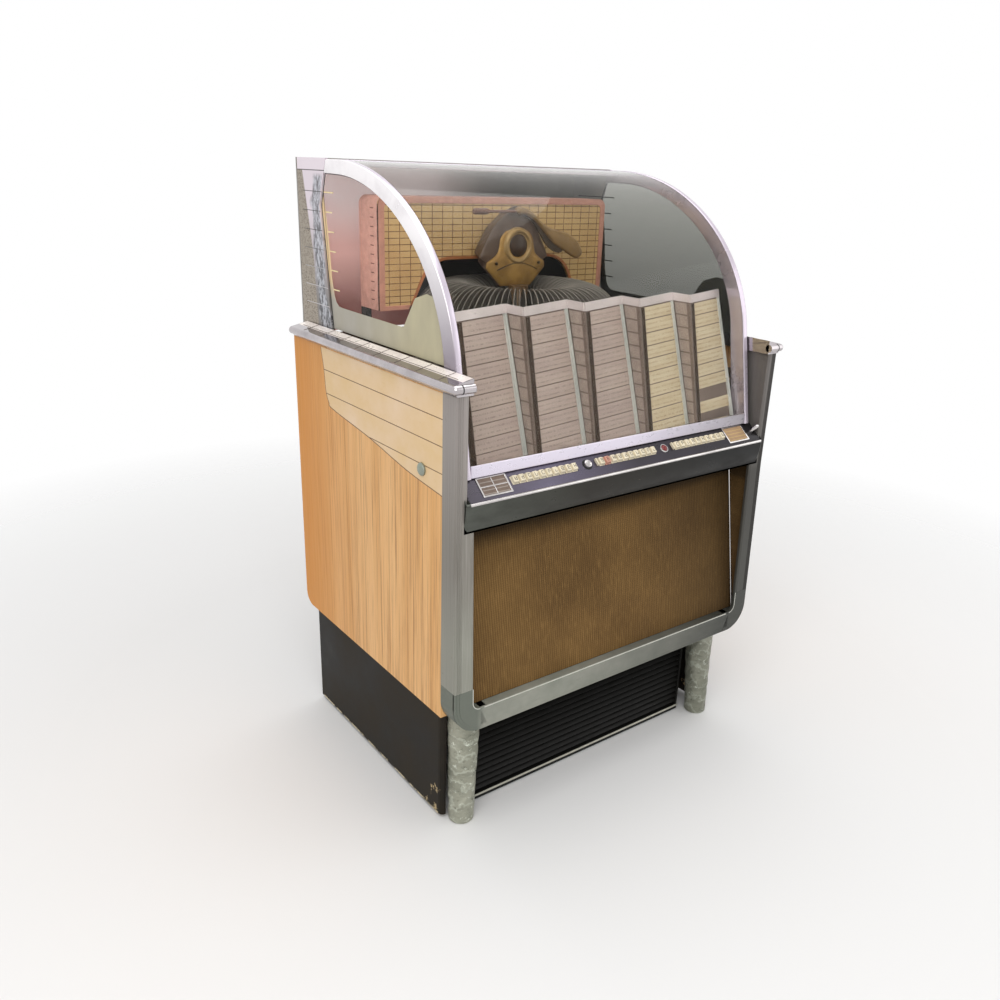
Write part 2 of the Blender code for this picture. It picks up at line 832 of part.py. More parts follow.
def louver_grille(black):
    """Slanting blades in a thin frame between the front legs, with a bead along the foot."""
    half = leg_x - front_leg_splay - front_leg_top_radius - louver_end_margin
    back = louver_front + louver_frame_depth
    top = grille_rail_bottom - seat_gap
    w, sill = louver_frame_width, louver_bottom + louver_sill
    grille = block("louver_grille", (-half, louver_front, louver_bottom), (half, back, top), black)
    hole = block("hole", (-half + w, louver_front - cut_overrun, sill),
                 (half - w, back + cut_overrun, top - w), black)
    cut(grille, hole)
    pitch = (top - sill - w) / (louver_count + 1)
    blades = []
    for k in range(louver_count):
        z = sill + (k + 1) * pitch
        outline = [(louver_front + louver_blade, z - louver_lean), (back - louver_blade, z),
                   (back - louver_blade, z + louver_blade),
                   (louver_front + louver_blade, z + louver_blade - louver_lean)]
        blades.append(prism("blade", outline, "x", -half + w / 2, half - w / 2, black))
    fuse(grille, gathered("blades", blades))
    r = louver_bead_radius
    bead = turned("bead", [(0, -half), (r, -half), (r, half), (0, half)], black, sides=8)
    put(bead, (0, louver_front, sill - r), along((1, 0, 0)))
    return fuse(grille, bead)


# Belt trim


def belt_trim(side, chrome):
    """A ledge that falls to a round outer roll, which turns across the pillar's front."""
    r = belt_roll_radius
    roll = (body_half + belt_reach - r, panel_top + seat_gap + belt_foot_height + r)
    inner = arch_outer + belt_inner_gap
    foot = panel_top + seat_gap
    outline = [(inner, foot), (body_half, foot)]
    outline += arc(roll, r, -90, 90, 8)
    outline += [(inner, belt_ledge_top)]
    start = front_y + r + belt_front_roll_inset
    end = rear_y - belt_rear_inset
    points = outline if side > 0 else mirrored(outline)
    name = "belt_trim_left" if side < 0 else "belt_trim_right"
    trim = prism(name, points, "y", start, end, chrome, smooth=True)
    length = roll[0] - inner
    nose = turned("nose", [(0, 0), (r, 0), (r, length), (0, length)], chrome, sides=16)
    put(nose, (side * inner, start, roll[1]), along((side, 0, 0)))
    steps = [math.radians(a) for a in range(-90, 91, 30)]
    ball = turned("ball", [(r * math.cos(a) if abs(a) < 1.5 else 0, r * math.sin(a)) for a in steps],
                  chrome, sides=16)
    put(ball, (side * roll[0], start, roll[1]))
    return fuse(trim, nose, ball)


# Selector


def slope_point(share, lift=0.0):
    """A point of the selector's sloping face, as (y, z), raised off it by lift."""
    down = (share * slope_length * math.cos(slope_angle), share * slope_length * math.sin(slope_angle))
    return (selector_back - down[0] - lift * math.sin(slope_angle),
            selector_top - down[1] + lift * math.cos(slope_angle))


def slope_height(y):
    """The height of the sloping face at a depth."""
    return selector_top - (selector_back - y) * math.tan(slope_angle)


def slope_frame(x, share, lift=0.0):
    """The matrix that stands a piece on the sloping face, its +Z along the face's normal."""
    y, z = slope_point(share, lift)
    return Matrix.Translation((x, y, z)) @ Matrix.Rotation(slope_angle, 4, "X")


def selector_outline():
    """The face, the bead and the rolled lip, down to the foot of the housing."""
    lip_foot_y = front_y + selector_lip_foot_inset
    bead = arc((front_y + bead_drop / 2, selector_slope_foot - bead_drop / 2), bead_drop / 2,
               100, 250, 5)
    drop = selector_slope_foot - bead_drop - selector_bottom
    lip = [(front_y + bead_drop / 3 + (lip_foot_y - front_y - bead_drop / 3) * s ** 2.2,
            selector_slope_foot - bead_drop - drop * s) for s in np.linspace(0.1, 1, 6)]
    return [(selector_back, selector_top), (slope_front_y, selector_slope_foot)] + bead + lip


def selector_housing(chrome):
    """A pressed shell open at the back, with key slots, card recesses and a lip over the pillars."""
    half = pillar_inner - seat_gap
    face = selector_outline()
    outer = face + [(selector_back, selector_bottom)]
    housing = prism("selector_housing", outer, "x", -half, half, chrome)
    lip_y = pillar_front - seat_gap
    ahead = [(lip_y, slope_height(lip_y))] + [(min(y, lip_y), z) for y, z in face[1:]]
    ends = []
    for side in (-1, 1):
        low, high = sorted((side * (half - cut_overrun), side * (half + selector_lip_overlap)))
        ends.append(prism("end", ahead, "x", low, high, chrome))
    fuse(housing, gathered("ends", ends))
    w = selector_wall
    run = 1 - 2 * w / slope_length
    hollow = [(selector_back + cut_overrun, slope_point(0, -w)[1]), slope_point(0, -w),
              slope_point(run, -w), (front_y + selector_lip_foot_inset + w, selector_bottom + w),
              (selector_back + cut_overrun, selector_bottom + w)]
    tools = [prism("hollow", hollow, "x", -half + w, half - w, chrome)]
    cut(housing, *tools)
    slots = []
    slot_length = key_count * key_pitch - key_gap + 2 * key_slot_gap
    for x in group_centres():
        slots.append(slope_hole(x, key_line_share, slot_length, key_length + 2 * key_slot_gap))
    for x, radius in ((-key_group_pitch / 2, button_radius), (key_group_pitch / 2, lamp_radius)):
        hole = turned("hole", [(0, -w - cut_overrun), (radius + key_slot_gap, -w - cut_overrun),
                               (radius + key_slot_gap, cut_overrun), (0, cut_overrun)], chrome)
        hole.matrix_world = slope_frame(x, key_line_share)
        slots.append(hole)
    cut(housing, gathered("slots", slots))
    latch = turned("latch", [(0, -latch_sink), (latch_radius, -latch_sink),
                             (latch_radius, latch_length), (0, latch_length)], chrome, sides=12)
    lean = Matrix.Rotation(latch_lean, 4, "Y")
    latch.matrix_world = slope_frame(pillar_inner - latch_inset, 1 / 2) @ lean
    bake(latch)
    return fuse(housing, gathered("frames", card_frames(half, chrome)), latch)


def group_centres():
    middle = (key_group_count - 1) / 2
    return [(k - middle) * key_group_pitch for k in range(key_group_count)]


def slope_hole(x, share, length, width):
    """A rectangular cutter through the sloping face."""
    depth = selector_wall + cut_overrun
    hole = block("hole", (-length / 2, -width / 2, -depth), (length / 2, width / 2, cut_overrun), None)
    hole.matrix_world = slope_frame(x, share)
    return hole


def card_frames(half, chrome):
    """Raised rectangular frames round the instruction cards at both ends."""
    frames = []
    b = card_frame_border
    w = card_window_width / 2
    h = slope_length / 2 - card_margin
    for side in (-1, 1):
        x = side * (half - card_window_outer_margin - w)
        frame = block("frame", (-w, -h, -b / 2), (w, h, card_frame_proud), chrome)
        window = block("window", (-w + b, -h + b, -b / 4), (w - b, h - b, b), chrome)
        cut(frame, window)
        frame.matrix_world = slope_frame(x, 1 / 2)
        frames.append(frame)
    return frames


def key_mesh(ivory):
    """One key: a stem with a crowned, chamfered cap."""
    w = (key_pitch - key_gap) / 2
    h = key_length / 2
    c = key_chamfer
    rings = []
    for shrink, z in ((0, -key_depth), (0, key_proud - c), (c, key_proud)):
        rings.append([(-w + shrink, -h + shrink, z), (w - shrink, -h + shrink, z),
                      (w - shrink, h - shrink, z), (-w + shrink, h - shrink, z)])
    key = loft("key", rings, ivory)
    shape = key.data
    bpy.data.objects.remove(key, do_unlink=True)
    return shape


def selector_keys(ivory):
    """Three rows of ten keys, lettered by group and numbered along it."""
    shape = key_mesh(ivory)
    for group, centre in enumerate(group_centres()):
        for k in range(key_count):
            x = centre + (k - (key_count - 1) / 2) * key_pitch
            key = bpy.data.objects.new(f"key_{'abc'[group]}{k}", shape)
            bpy.context.scene.collection.objects.link(key)
            key.matrix_world = slope_frame(x, key_line_share)


def round_cap(name, radius, depth, proud, rounding, material):
    """A round cap with a softened rim, standing through the sloping face."""
    rim = [(radius - rounding + rounding * math.cos(a), proud - rounding + rounding * math.sin(a))
           for a in np.radians((0, 45, 90))]
    profile = [(0, -depth), (radius, -depth)] + rim + [(0, proud)]
    return turned(name, profile, material, sides=18)


def select_button(chrome):
    button = round_cap("select_button", button_radius, button_depth, button_proud, button_round,
                       chrome)
    button.matrix_world = slope_frame(-key_group_pitch / 2, key_line_share)
    return button


def indicator_lens(red):
    lens = round_cap("indicator_lens", lamp_radius, lamp_depth, lamp_proud, lamp_proud - seat_gap,
                     red)
    lens.matrix_world = slope_frame(key_group_pitch / 2, key_line_share)
    return lens


# Dome


def dome_profile(steps=dome_steps):
    """The dome's outline from its front foot to its rear top, as (y, z).

    A straight foot runs tangent into an ellipse, which runs tangent into a flat top.
    """
    u = (dome_centre_y - dome_foot_y) / dome_reach
    w = (dome_centre_z - dome_foot_z) / dome_rise
    start = math.acos(1 / math.hypot(u, w)) - math.atan2(w, u)
    angles = np.linspace(start, math.pi / 2, steps)
    curve = [(dome_centre_y - dome_reach * math.cos(a), dome_centre_z + dome_rise * math.sin(a))
             for a in angles]
    return [(dome_foot_y, dome_foot_z)] + curve + [(dome_hinge_y - parting_gap, dome_top)]


def offset_line(line, near, far):
    """Move a line to its inner side, by near at its start and far at its end."""
    points = np.array(line)
    tangent = np.gradient(points, axis=0)
    tangent /= np.linalg.norm(tangent, axis=1)[:, None]
    normal = np.column_stack((tangent[:, 1], -tangent[:, 0]))
    run = np.concatenate(([0], np.cumsum(np.linalg.norm(np.diff(points, axis=0), axis=1))))
    share = (run / run[-1])[:, None]
    return points + normal * (near + (far - near) * share)


def parting_y(z):
    """The kinked line where the dome ends and the hood begins."""
    heights = (side_glass_foot, parting_kink_z, dome_top)
    return float(np.interp(z, heights, (parting_foot_y, parting_kink_y,
                                        dome_hinge_y - parting_gap)))


def arch_inner_edge():
    """The inner edge of an arch, cut off level with its foot and on the parting line."""
    inner = offset_line(dome_profile(), arch_foot_width, arch_top_width)
    inner[0, 1] = dome_foot_z
    inner[-1, 0] = parting_y(inner[-1, 1])
    return [tuple(point) for point in inner]


def dome_frame(chrome):
    """Two arches joined by the sill under the front glass and the bar at the hinge."""
    outer = dome_profile()
    inner = arch_inner_edge()
    arches = []
    for side in (-1, 1):
        low, high = sorted((side * arch_inner, side * arch_outer))
        arches.append(prism("arch", outer + inner[::-1], "x", low, high, chrome, smooth=True))
    sill_front = dome_foot_y + dome_sill_inset
    sill = [(sill_front, dome_foot_z), (sill_front + dome_sill_thickness, dome_foot_z),
            (sill_front + dome_sill_thickness, dome_foot_z + dome_sill_height),
            (sill_front, dome_foot_z + dome_sill_height)]
    bar_end = dome_hinge_y - parting_gap
    bar = [(bar_end - dome_bar_length, dome_top - dome_bar_height),
           (parting_y(dome_top - dome_bar_height), dome_top - dome_bar_height),
           (bar_end, dome_top), (bar_end - dome_bar_length, dome_top)]
    reach = arch_inner + arch_thickness / 2
    frame = prism("dome_frame", sill, "x", -reach, reach, chrome)
    rear_bar = prism("bar", bar, "x", -reach, reach, chrome)
    return fuse(frame, gathered("arches", arches), rear_bar)


def dome_glass(glass):
    """A bent sheet between the arches, from the sill to the rear bar."""
    line = np.array(dome_profile())
    sill_top = dome_foot_z + dome_sill_height + seat_gap
    start = (line[0] + (line[1] - line[0]) * (sill_top - line[0, 1]) / (line[1, 1] - line[0, 1]))
    end = (dome_hinge_y - parting_gap - dome_bar_length - seat_gap, dome_top)
    path = [tuple(start)] + [tuple(p) for p in line[1:-1] if p[0] < end[0]] + [end]
    outer = offset_line(path, glass_inset, glass_inset)
    inner = offset_line(path, glass_inset + glass_thickness, glass_inset + glass_thickness)
    outer[0, 1] = inner[0, 1] = sill_top
    outer[-1, 0] = inner[-1, 0] = end[0]
    outline = [tuple(p) for p in outer] + [tuple(p) for p in inner[::-1]]
    half = arch_inner - seat_gap
    return prism("dome_glass", outline, "x", -half, half, glass, smooth=True)


def side_glass(side, glass):
    """A flat pane inside the arch, cut on the parting line at the rear."""
    edge = np.array(offset_line(arch_inner_edge(), seat_gap, seat_gap))
    foot = side_glass_foot + seat_gap
    above = [tuple(p) for p in edge if p[1] > foot]
    front_y_at_foot = float(np.interp(foot, edge[:4, 1], edge[:4, 0]))
    top_z = above[-1][1]
    above[-1] = (parting_y(top_z), top_z)
    outline = [(front_y_at_foot, foot)] + above
    outline += [(parting_kink_y, parting_kink_z), (parting_y(foot), foot)]
    middle = (arch_inner + arch_outer) / 2
    t = glass_thickness / 2
    name = "side_glass_left" if side < 0 else "side_glass_right"
    low, high = sorted((side * (middle - t), side * (middle + t)))
    return prism(name, outline, "x", low, high, glass)


def rear_hood(metal):
    """The fixed hood behind the dome: two sides, a top and a back, open below and in front."""
    foot = panel_top + seat_gap
    line = [(parting_y(dome_top) + parting_gap, overall_height),
            (parting_kink_y + parting_gap, parting_kink_z),
            (parting_foot_y + parting_gap, side_glass_foot), (parting_foot_y + parting_gap, foot)]
    outline = line + [(rear_y, foot), (rear_y, overall_height)]
    hood = prism("rear_hood", outline, "x", -arch_outer, arch_outer, metal)
    w = hood_wall
    hollow = [(parting_foot_y - cut_overrun, foot - cut_overrun), (rear_y - w, foot - cut_overrun),
              (rear_y - w, overall_height - w), (parting_foot_y - cut_overrun, overall_height - w)]
    return cut(hood, prism("hollow", hollow, "x", -arch_outer + w, arch_outer - w, metal))


# Title rack and back board


def rack_line(z, shift=0.0):
    """The rack's sawtooth at a height, as (x, y): wide leaves fall back, narrow ones step forward.

    A shift moves it right and back together, which gives both kinds of leaf a thickness.
    """
    foot = selector_top + seat_gap
    share = (z - foot) / (rack_top - foot)
    back = shift * rack_shift_share
    valley = rack_valley_foot_y + (rack_valley_top_y - rack_valley_foot_y) * share + back
    peak = rack_peak_foot_y + (rack_peak_top_y - rack_peak_foot_y) * share + back
    left = -rack_columns * rack_column_pitch / 2 + shift
    points = []
    for k in range(rack_columns):
        x = left + k * rack_column_pitch
        points.append((x + (rack_fold if k else 0), peak))
        points.append((x + rack_column_pitch, valley))
    return points


def rack_ring(z, front, back):
    """The rack's closed section at a height, between two shifts of the sawtooth."""
    ahead = rack_line(z, front)
    behind = rack_line(z, back)
    return [(x, y, z) for x, y in ahead] + [(x, y, z) for x, y in behind[::-1]]


def title_rack(metal):
    """A pleated board for the title strips, with a head rail and a bright bar in each valley."""
    foot = selector_top + seat_gap
    levels = np.linspace(foot, rack_top, rack_levels)
    board = loft("title_rack", [rack_ring(z, 0, rack_board) for z in levels], metal)
    rail = loft("rail", [rack_ring(z, -rack_rail_proud, rack_board / 2)
                         for z in (rack_top - rack_rail_height, rack_top + rack_board)], metal)
    bars = []
    for k in range(rack_columns - 1):
        rings = []
        for z in (foot, rack_top - rack_rail_height / 2):
            start, end = rack_line(z)[2 * k], rack_line(z)[2 * k + 1]
            slope = (end[1] - start[1]) / (end[0] - start[0])
            near, far = end[0] - rack_divider_width - rack_fold, end[0] - rack_fold / 2
            y_near = end[1] + (near - end[0]) * slope
            y_far = end[1] + (far - end[0]) * slope
            p = rack_divider_proud
            rings.append([(near, y_near - p, z), (far, y_far - p, z),
                          (far, y_far + rack_board / 2, z), (near, y_near + rack_board / 2, z)])
        bars.append(loft("bar", rings, metal))
    return fuse(board, gathered("bars", bars), rail)


def rounded(before, corner, after, radius, steps):
    """The arc of a radius that rounds a corner between two neighbours, as (a, b)."""
    corner = Vector(corner)
    back, ahead = (Vector(before) - corner).normalized(), (Vector(after) - corner).normalized()
    half = back.angle(ahead) / 2
    centre = corner + (back + ahead).normalized() * radius / math.sin(half)
    start = corner + back * radius / math.tan(half) - centre
    end = corner + ahead * radius / math.tan(half) - centre
    turn = start.angle_signed(end)
    return [tuple(centre + Matrix.Rotation(-turn * k / steps, 2) @ start) for k in range(steps + 1)]


def backboard_opening(foot):
    """The opening over the carousel: leaning sides, round corners and a flat crown."""
    half, top = backboard_arch_half_width, backboard_arch_top
    narrow = half - backboard_arch_lean
    left = rounded((-half, foot), (-narrow, top), (narrow, top), backboard_arch_corner, 6)
    return [(-half, foot)] + left + mirrored(left)[::-1] + [(half, foot)]


def backboard(paint):
    """A pan with deep returns on two rear legs, its face open over the carousel."""
    half, c = backboard_width / 2, backboard_corner
    foot, back = backboard_foot, backboard_front + backboard_depth
    outline = [(-half, foot)] + backboard_opening(foot) + [(half, foot)]
    outline += arc((half - c, backboard_top - c), c, 0, 90, 4)
    outline += arc((-half + c, backboard_top - c), c, 90, 180, 4)
    pan = prism("backboard", outline, "y", backboard_front, back, paint)
    w = backboard_wall
    inner = [(-half + w, foot - cut_overrun), (half - w, foot - cut_overrun)]
    inner += arc((half - c, backboard_top - c), c - w, 0, 90, 4)
    inner += arc((-half + c, backboard_top - c), c - w, 90, 180, 4)
    cut(pan, prism("hollow", inner, "y", backboard_front + w, back + cut_overrun, paint))
    legs = []
    for side in (-1, 1):
        low, high = sorted((side * half, side * (half - backboard_leg_width)))
        legs.append(block("leg", (low, back - backboard_leg_depth, deck_top + seat_gap),
                          (high, back, foot + backboard_leg_width), paint))
    return fuse(pan, gathered("legs", legs))


# Record mechanism


def record_carousel(metal):
    """A tray and hub with thin radial fins, turning round the column."""
    low, tray_top = carousel_tray_bottom, carousel_tray_bottom + carousel_tray
    profile = [(carousel_bore, low), (carousel_radius, low), (carousel_radius, tray_top),
               (carousel_hub_radius, tray_top), (carousel_hub_radius, carousel_hub_top),
               (carousel_bore, carousel_hub_top)]
    wheel = turned("record_carousel", profile, metal, sides=50)
    put(wheel, (0, carousel_y, 0))
    bake(wheel)
    fins = []
    for k in range(record_count):
        angle = 2 * math.pi * (k + 1 / 2) / record_count
        fin = block("fin", (carousel_fin_inner, -carousel_fin / 2, tray_top - carousel_tray / 2),
                    (carousel_radius - carousel_tray, carousel_fin / 2,
                     tray_top + carousel_fin_height), metal)
        fin.matrix_world = Matrix.Translation((0, carousel_y, 0)) @ Matrix.Rotation(angle, 4, "Z")
        fins.append(fin)
    return set_pivot(fuse(wheel, gathered("fins", fins)), (0, carousel_y, 0))


def records(vinyl):
    """Upright discs in a ring, carried by a thin sleeve on the hub."""
    inner = carousel_hub_radius + seat_gap
    z, h = record_centre_z, record_sleeve_height / 2
    outer = inner + record_sleeve_wall
    sleeve = turned("records", [(inner, z - h), (outer, z - h), (outer, z + h), (inner, z + h)],
                    vinyl, sides=50)
    put(sleeve, (0, carousel_y, 0))
    bake(sleeve)
    discs = []
    t = record_thickness / 2
    for k in range(record_count):
        angle = 2 * math.pi * k / record_count
        disc = turned("disc", [(0, -t), (record_radius, -t), (record_radius, t), (0, t)], vinyl,
                      sides=record_sides)
        disc.matrix_world = (Matrix.Translation((0, carousel_y, 0)) @ Matrix.Rotation(angle, 4, "Z")
                             @ Matrix.Translation((record_centre_r, 0, z))
                             @ Matrix.Rotation(math.pi / 2, 4, "X"))
        discs.append(disc)
    return set_pivot(fuse(sleeve, gathered("discs", discs)), (0, carousel_y, 0))


def housing_outline():
    """The right half of the housing's face, from its waist to its crown, then mirrored."""
    r = housing_crown_radius
    right = [(housing_waist, housing_base), (housing_ear_reach, housing_ear_z),
             (housing_notch_reach, housing_notch_z), (housing_cap_reach, housing_cap_z),
             (housing_temple_reach, turntable_z), (housing_brow_reach, housing_brow_z)]
    right += arc((0, housing_top - r), r, 40, 80, 3)
    return right + mirrored(right)[::-1]


def mechanism_housing(gold):
    """A cast shield on a column, with a round bezel bored for the turntable."""
    shield = prism("mechanism_housing", housing_outline(), "y", housing_front, boss_back, gold)
    column_top = housing_base + column_foot_height
    foot = deck_top + seat_gap
    column = turned("column", [(0, foot), (column_foot_radius, foot),
                               (column_foot_radius, foot + column_foot_height),
                               (column_radius, foot + 2 * column_foot_height),
                               (column_radius, column_top - column_neck_height),
                               (column_neck_radius, column_top - column_neck_height / 2),
                               (column_neck_radius, column_top), (0, column_top)], gold)
    put(column, (0, carousel_y, 0))
    bezel = turned("bezel", [(0, 0), (bezel_radius, 0), (bezel_radius, bezel_proud / 2),
                             (bezel_radius - bezel_proud / 2, bezel_proud), (0, bezel_proud)], gold,
                   sides=24)
    put(bezel, (0, housing_front + seat_gap, turntable_z), along((0, -1, 0)))
    depth = turntable_depth + seat_gap
    bore = turned("bore", [(0, -depth), (turntable_radius + seat_gap, -depth),
                           (turntable_radius + seat_gap, bezel_proud + cut_overrun),
                           (0, bezel_proud + cut_overrun)], gold, sides=24)
    put(bore, (0, housing_front, turntable_z), along((0, -1, 0)))
    fuse(shield, column, bezel)
    return cut(shield, bore)


def turntable(dark):
    """A domed clamp disc turning in the bezel."""
    r = turntable_radius
    dome = [(r * math.cos(a), bezel_proud / 2 + turntable_dome * math.sin(a))
            for a in np.radians((0, 30, 60))]
    profile = [(0, -turntable_depth), (r, -turntable_depth)] + dome
    profile += [(0, bezel_proud / 2 + turntable_dome)]
    disc = turned("turntable", profile, dark, sides=24)
    return put(disc, (0, housing_front, turntable_z), along((0, -1, 0)))


def tone_arm(gold):
    """A flat cast arm with a round head, and a thin balance rod behind its pivot."""
    w, r, reach = arm_root_width / 2, arm_head_radius, arm_reach
    outline = arc((0, 0), arm_pivot_radius, 110, 250, 6)
    outline += [(reach / 2, -w)] + arc((reach - r, 0), r, -100, 100, 8) + [(reach / 2, w)]
    back = housing_front - seat_gap
    arm = prism("tone_arm", outline, "y", -arm_thickness, 0, gold)
    weight = arm_tail - arm_weight_length
    tail = turned("tail", [(0, 0), (arm_tail_radius, 0), (arm_tail_radius, weight),
                           (arm_weight_radius, weight), (arm_weight_radius, arm_tail), (0, arm_tail)],
                  gold, sides=12)
    tail_turn = Vector((-math.cos(arm_drop_angle), 0, -math.sin(arm_drop_angle)))
    put(tail, (0, -arm_thickness / 2, 0), along(tail_turn))
    fuse(arm, tail)
    return put(arm, (0, back, arm_pivot_z), Matrix.Rotation(arm_drop_angle, 4, "Y"))


def build():
    clear_scene()
    wood = finish("honey_wood", (0.66, 0.40, 0.15), 0.45)
    plain_wood = finish("plain_board", (0.36, 0.24, 0.13), 0.7)
    black = finish("black_paint", (0.02, 0.018, 0.015), 0.5)
    black_board = finish("black_board", (0.02, 0.018, 0.015), 0.5)
    alloy = finish("fluted_alloy", (0.42, 0.42, 0.40), 0.35, 1.0)
    casting = finish("painted_casting", (0.27, 0.29, 0.25), 0.5)
    chrome = finish("chrome", (0.75, 0.74, 0.76), 0.12, 1.0)
    cloth = finish("grille_cloth", (0.33, 0.20, 0.08), 0.9)
    ivory = finish("ivory_key", (0.80, 0.74, 0.58), 0.35)
    red = finish("red_lens", (0.25, 0.02, 0.03), 0.15)
    glass = finish("clear_glass", (0.8, 0.85, 0.83), 0.05, 0.0, 0.3)
    cream = finish("cream_board", (0.62, 0.47, 0.26), 0.6)
    rack_paint = finish("rack_metal", (0.52, 0.46, 0.36), 0.5)
    gold = finish("gold_casting", (0.45, 0.30, 0.12), 0.4, 0.6)
    vinyl = finish("black_vinyl", (0.02, 0.02, 0.02), 0.25)
    tray = finish("carousel_grey", (0.30, 0.30, 0.30), 0.4, 0.5)
    for side in (-1, 1):
        side_panel(side, wood)
        pillar(side, alloy)
        belt_trim(side, chrome)
    cabinet_frame(plain_wood)
    rear_door(plain_wood)
    side_lock(chrome)
    grille_frame(casting)
    grille_panel(cloth)
    speaker(black)
    kick_panel(black_board)
    leg_frame(casting)
    louver_grille(black)
    selector_housing(chrome)
    selector_keys(ivory)
    select_button(chrome)
    indicator_lens(red)
    dome = [dome_frame(chrome), dome_glass(glass), side_glass(-1, glass), side_glass(1, glass)]
    carry("dome_hinge", (0, dome_hinge_y, overall_height), dome)
    rear_hood(alloy)
    title_rack(rack_paint)
    backboard(cream)
    record_carousel(tray)
    records(vinyl)
    mechanism_housing(gold)
    turntable(black)
    tone_arm(gold)


build()
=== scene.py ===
"""The looks of a full-size selector jukebox with a curved glass dome.

Metres, +Z up, the front towards -Y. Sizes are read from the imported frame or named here.
"""
import math

import bpy
import bmesh
import numpy as np
from mathutils import Matrix, Vector


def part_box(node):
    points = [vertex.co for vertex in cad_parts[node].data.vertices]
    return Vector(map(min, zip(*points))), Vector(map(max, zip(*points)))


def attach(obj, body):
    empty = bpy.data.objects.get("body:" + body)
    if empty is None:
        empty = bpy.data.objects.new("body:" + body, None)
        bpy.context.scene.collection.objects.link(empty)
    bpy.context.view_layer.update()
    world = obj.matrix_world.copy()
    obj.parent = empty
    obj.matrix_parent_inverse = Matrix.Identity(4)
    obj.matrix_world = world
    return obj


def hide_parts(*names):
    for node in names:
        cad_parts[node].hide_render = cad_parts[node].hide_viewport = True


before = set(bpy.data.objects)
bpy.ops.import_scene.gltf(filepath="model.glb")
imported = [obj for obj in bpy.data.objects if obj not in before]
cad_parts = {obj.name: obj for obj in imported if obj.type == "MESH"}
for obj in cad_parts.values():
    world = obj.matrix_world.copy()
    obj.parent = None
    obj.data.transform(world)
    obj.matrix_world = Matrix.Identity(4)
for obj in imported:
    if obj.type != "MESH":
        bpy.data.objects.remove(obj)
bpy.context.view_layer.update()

# Camera, fitted to the photograph
camera_place = (-1.23633, -1.54856, 1.29169)
camera_heading = math.radians(37.81)
camera_pitch = math.radians(-20.68)
camera_roll = math.radians(2.204)
focal_pixels = 889.996
image_pixels = 1000
centre_pixels = (514.949, 505.726)
sensor_mm = 36.0

# Levels and places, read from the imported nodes
panel_low, panel_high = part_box("side_panel_left")
body_half = -panel_low.x
panel_top = panel_high.z
panel_front = panel_low.y
belt_low, belt_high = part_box("belt_trim_left")
belt_outer, belt_inner = -belt_low.x, -belt_high.x
pillar_low, pillar_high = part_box("pillar_left")
pillar_outer, pillar_low_inner = -pillar_low.x, -pillar_high.x
pillar_inner = pillar_outer - 0.027
dome_low, dome_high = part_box("dome_frame")
arch_outer = -dome_low.x
glass_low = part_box("dome_glass")[0]
arch_inner = -glass_low.x + 0.0003
hood_low, hood_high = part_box("rear_hood")
rear_y = hood_high.y
overall_height = hood_high.z
selector_low, selector_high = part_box("selector_housing")
selector_top, selector_bottom = selector_high.z, selector_low.z
selector_back, front_y = selector_high.y, selector_low.y
pillar_front = front_y + 0.011
rail_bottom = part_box("grille_frame")[0].z
rail_top = rail_bottom + 0.049
casting_radius = 0.060
casting_top = rail_top + 0.047
cloth_low, cloth_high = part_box("grille_panel")
deck_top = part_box("record_carousel")[0].z - 0.0003
rack_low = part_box("title_rack")[0]
board_low, board_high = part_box("backboard")
carousel_low, carousel_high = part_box("record_carousel")
carousel_radius = carousel_high.x
carousel_y = (carousel_low.y + carousel_high.y) / 2
kick_low, kick_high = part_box("kick_panel")
leg_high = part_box("leg_frame")[1]
louver_low, louver_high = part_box("louver_grille")
gap = 0.0003
frame_depth = 0.008


# Shapes: each is a pair (points, faces) worked out as whole arrays


def grid_faces(rows, cols, join_rows=False, join_cols=False):
    """The quads of a rows by cols grid of points, joined round where a side is closed."""
    i = np.arange(rows if join_rows else rows - 1)
    j = np.arange(cols if join_cols else cols - 1)
    a, b = (m.ravel() for m in np.meshgrid(i, j, indexing="ij"))
    a2, b2 = (a + 1) % rows, (b + 1) % cols
    return np.stack([a * cols + b, a * cols + b2, a2 * cols + b2, a2 * cols + b], 1).tolist()


def carried(rings, round_path=False):
    """Closed rings of points, shape (rings, points, 3), joined in turn and capped at both ends."""
    rings = np.asarray(rings, float)
    n, m = rings.shape[:2]
    faces = grid_faces(n, m, round_path, True)
    if not round_path:
        faces += [list(range(m))[::-1], list(range((n - 1) * m, n * m))]
    return rings.reshape(-1, 3), faces


def sheet_of(points):
    """An open surface: a grid of points, shape (rows, cols, 3)."""
    points = np.asarray(points, float)
    return points.reshape(-1, 3), grid_faces(*points.shape[:2])


def raised(flat, axis, level):
    """A flat line (a, b) as points in space, all at one level along an axis."""
    return np.insert(np.asarray(flat, float), "xyz".index(axis), level, axis=1)


def extruded(outline, axis, low, high):
    """A flat outline (a, b) carried along one axis from low to high."""
    return carried([raised(outline, axis, level) for level in (low, high)])


def slab(low, high):
    """A box between two corners."""
    (x0, y0, z0), (x1, y1, z1) = low, high
    return extruded([(x0, y0), (x1, y0), (x1, y1), (x0, y1)], "z", z0, z1)


def frames_along(path, up=(0, 0, 1)):
    """Across and upward unit vectors square to a path at each of its points."""
    path = np.asarray(path, float)
    tangent = np.gradient(path, axis=0)
    tangent /= np.linalg.norm(tangent, axis=1)[:, None]
    across = np.cross(tangent, np.asarray(up, float))
    across /= np.linalg.norm(across, axis=1)[:, None]
    return across, np.cross(across, tangent)


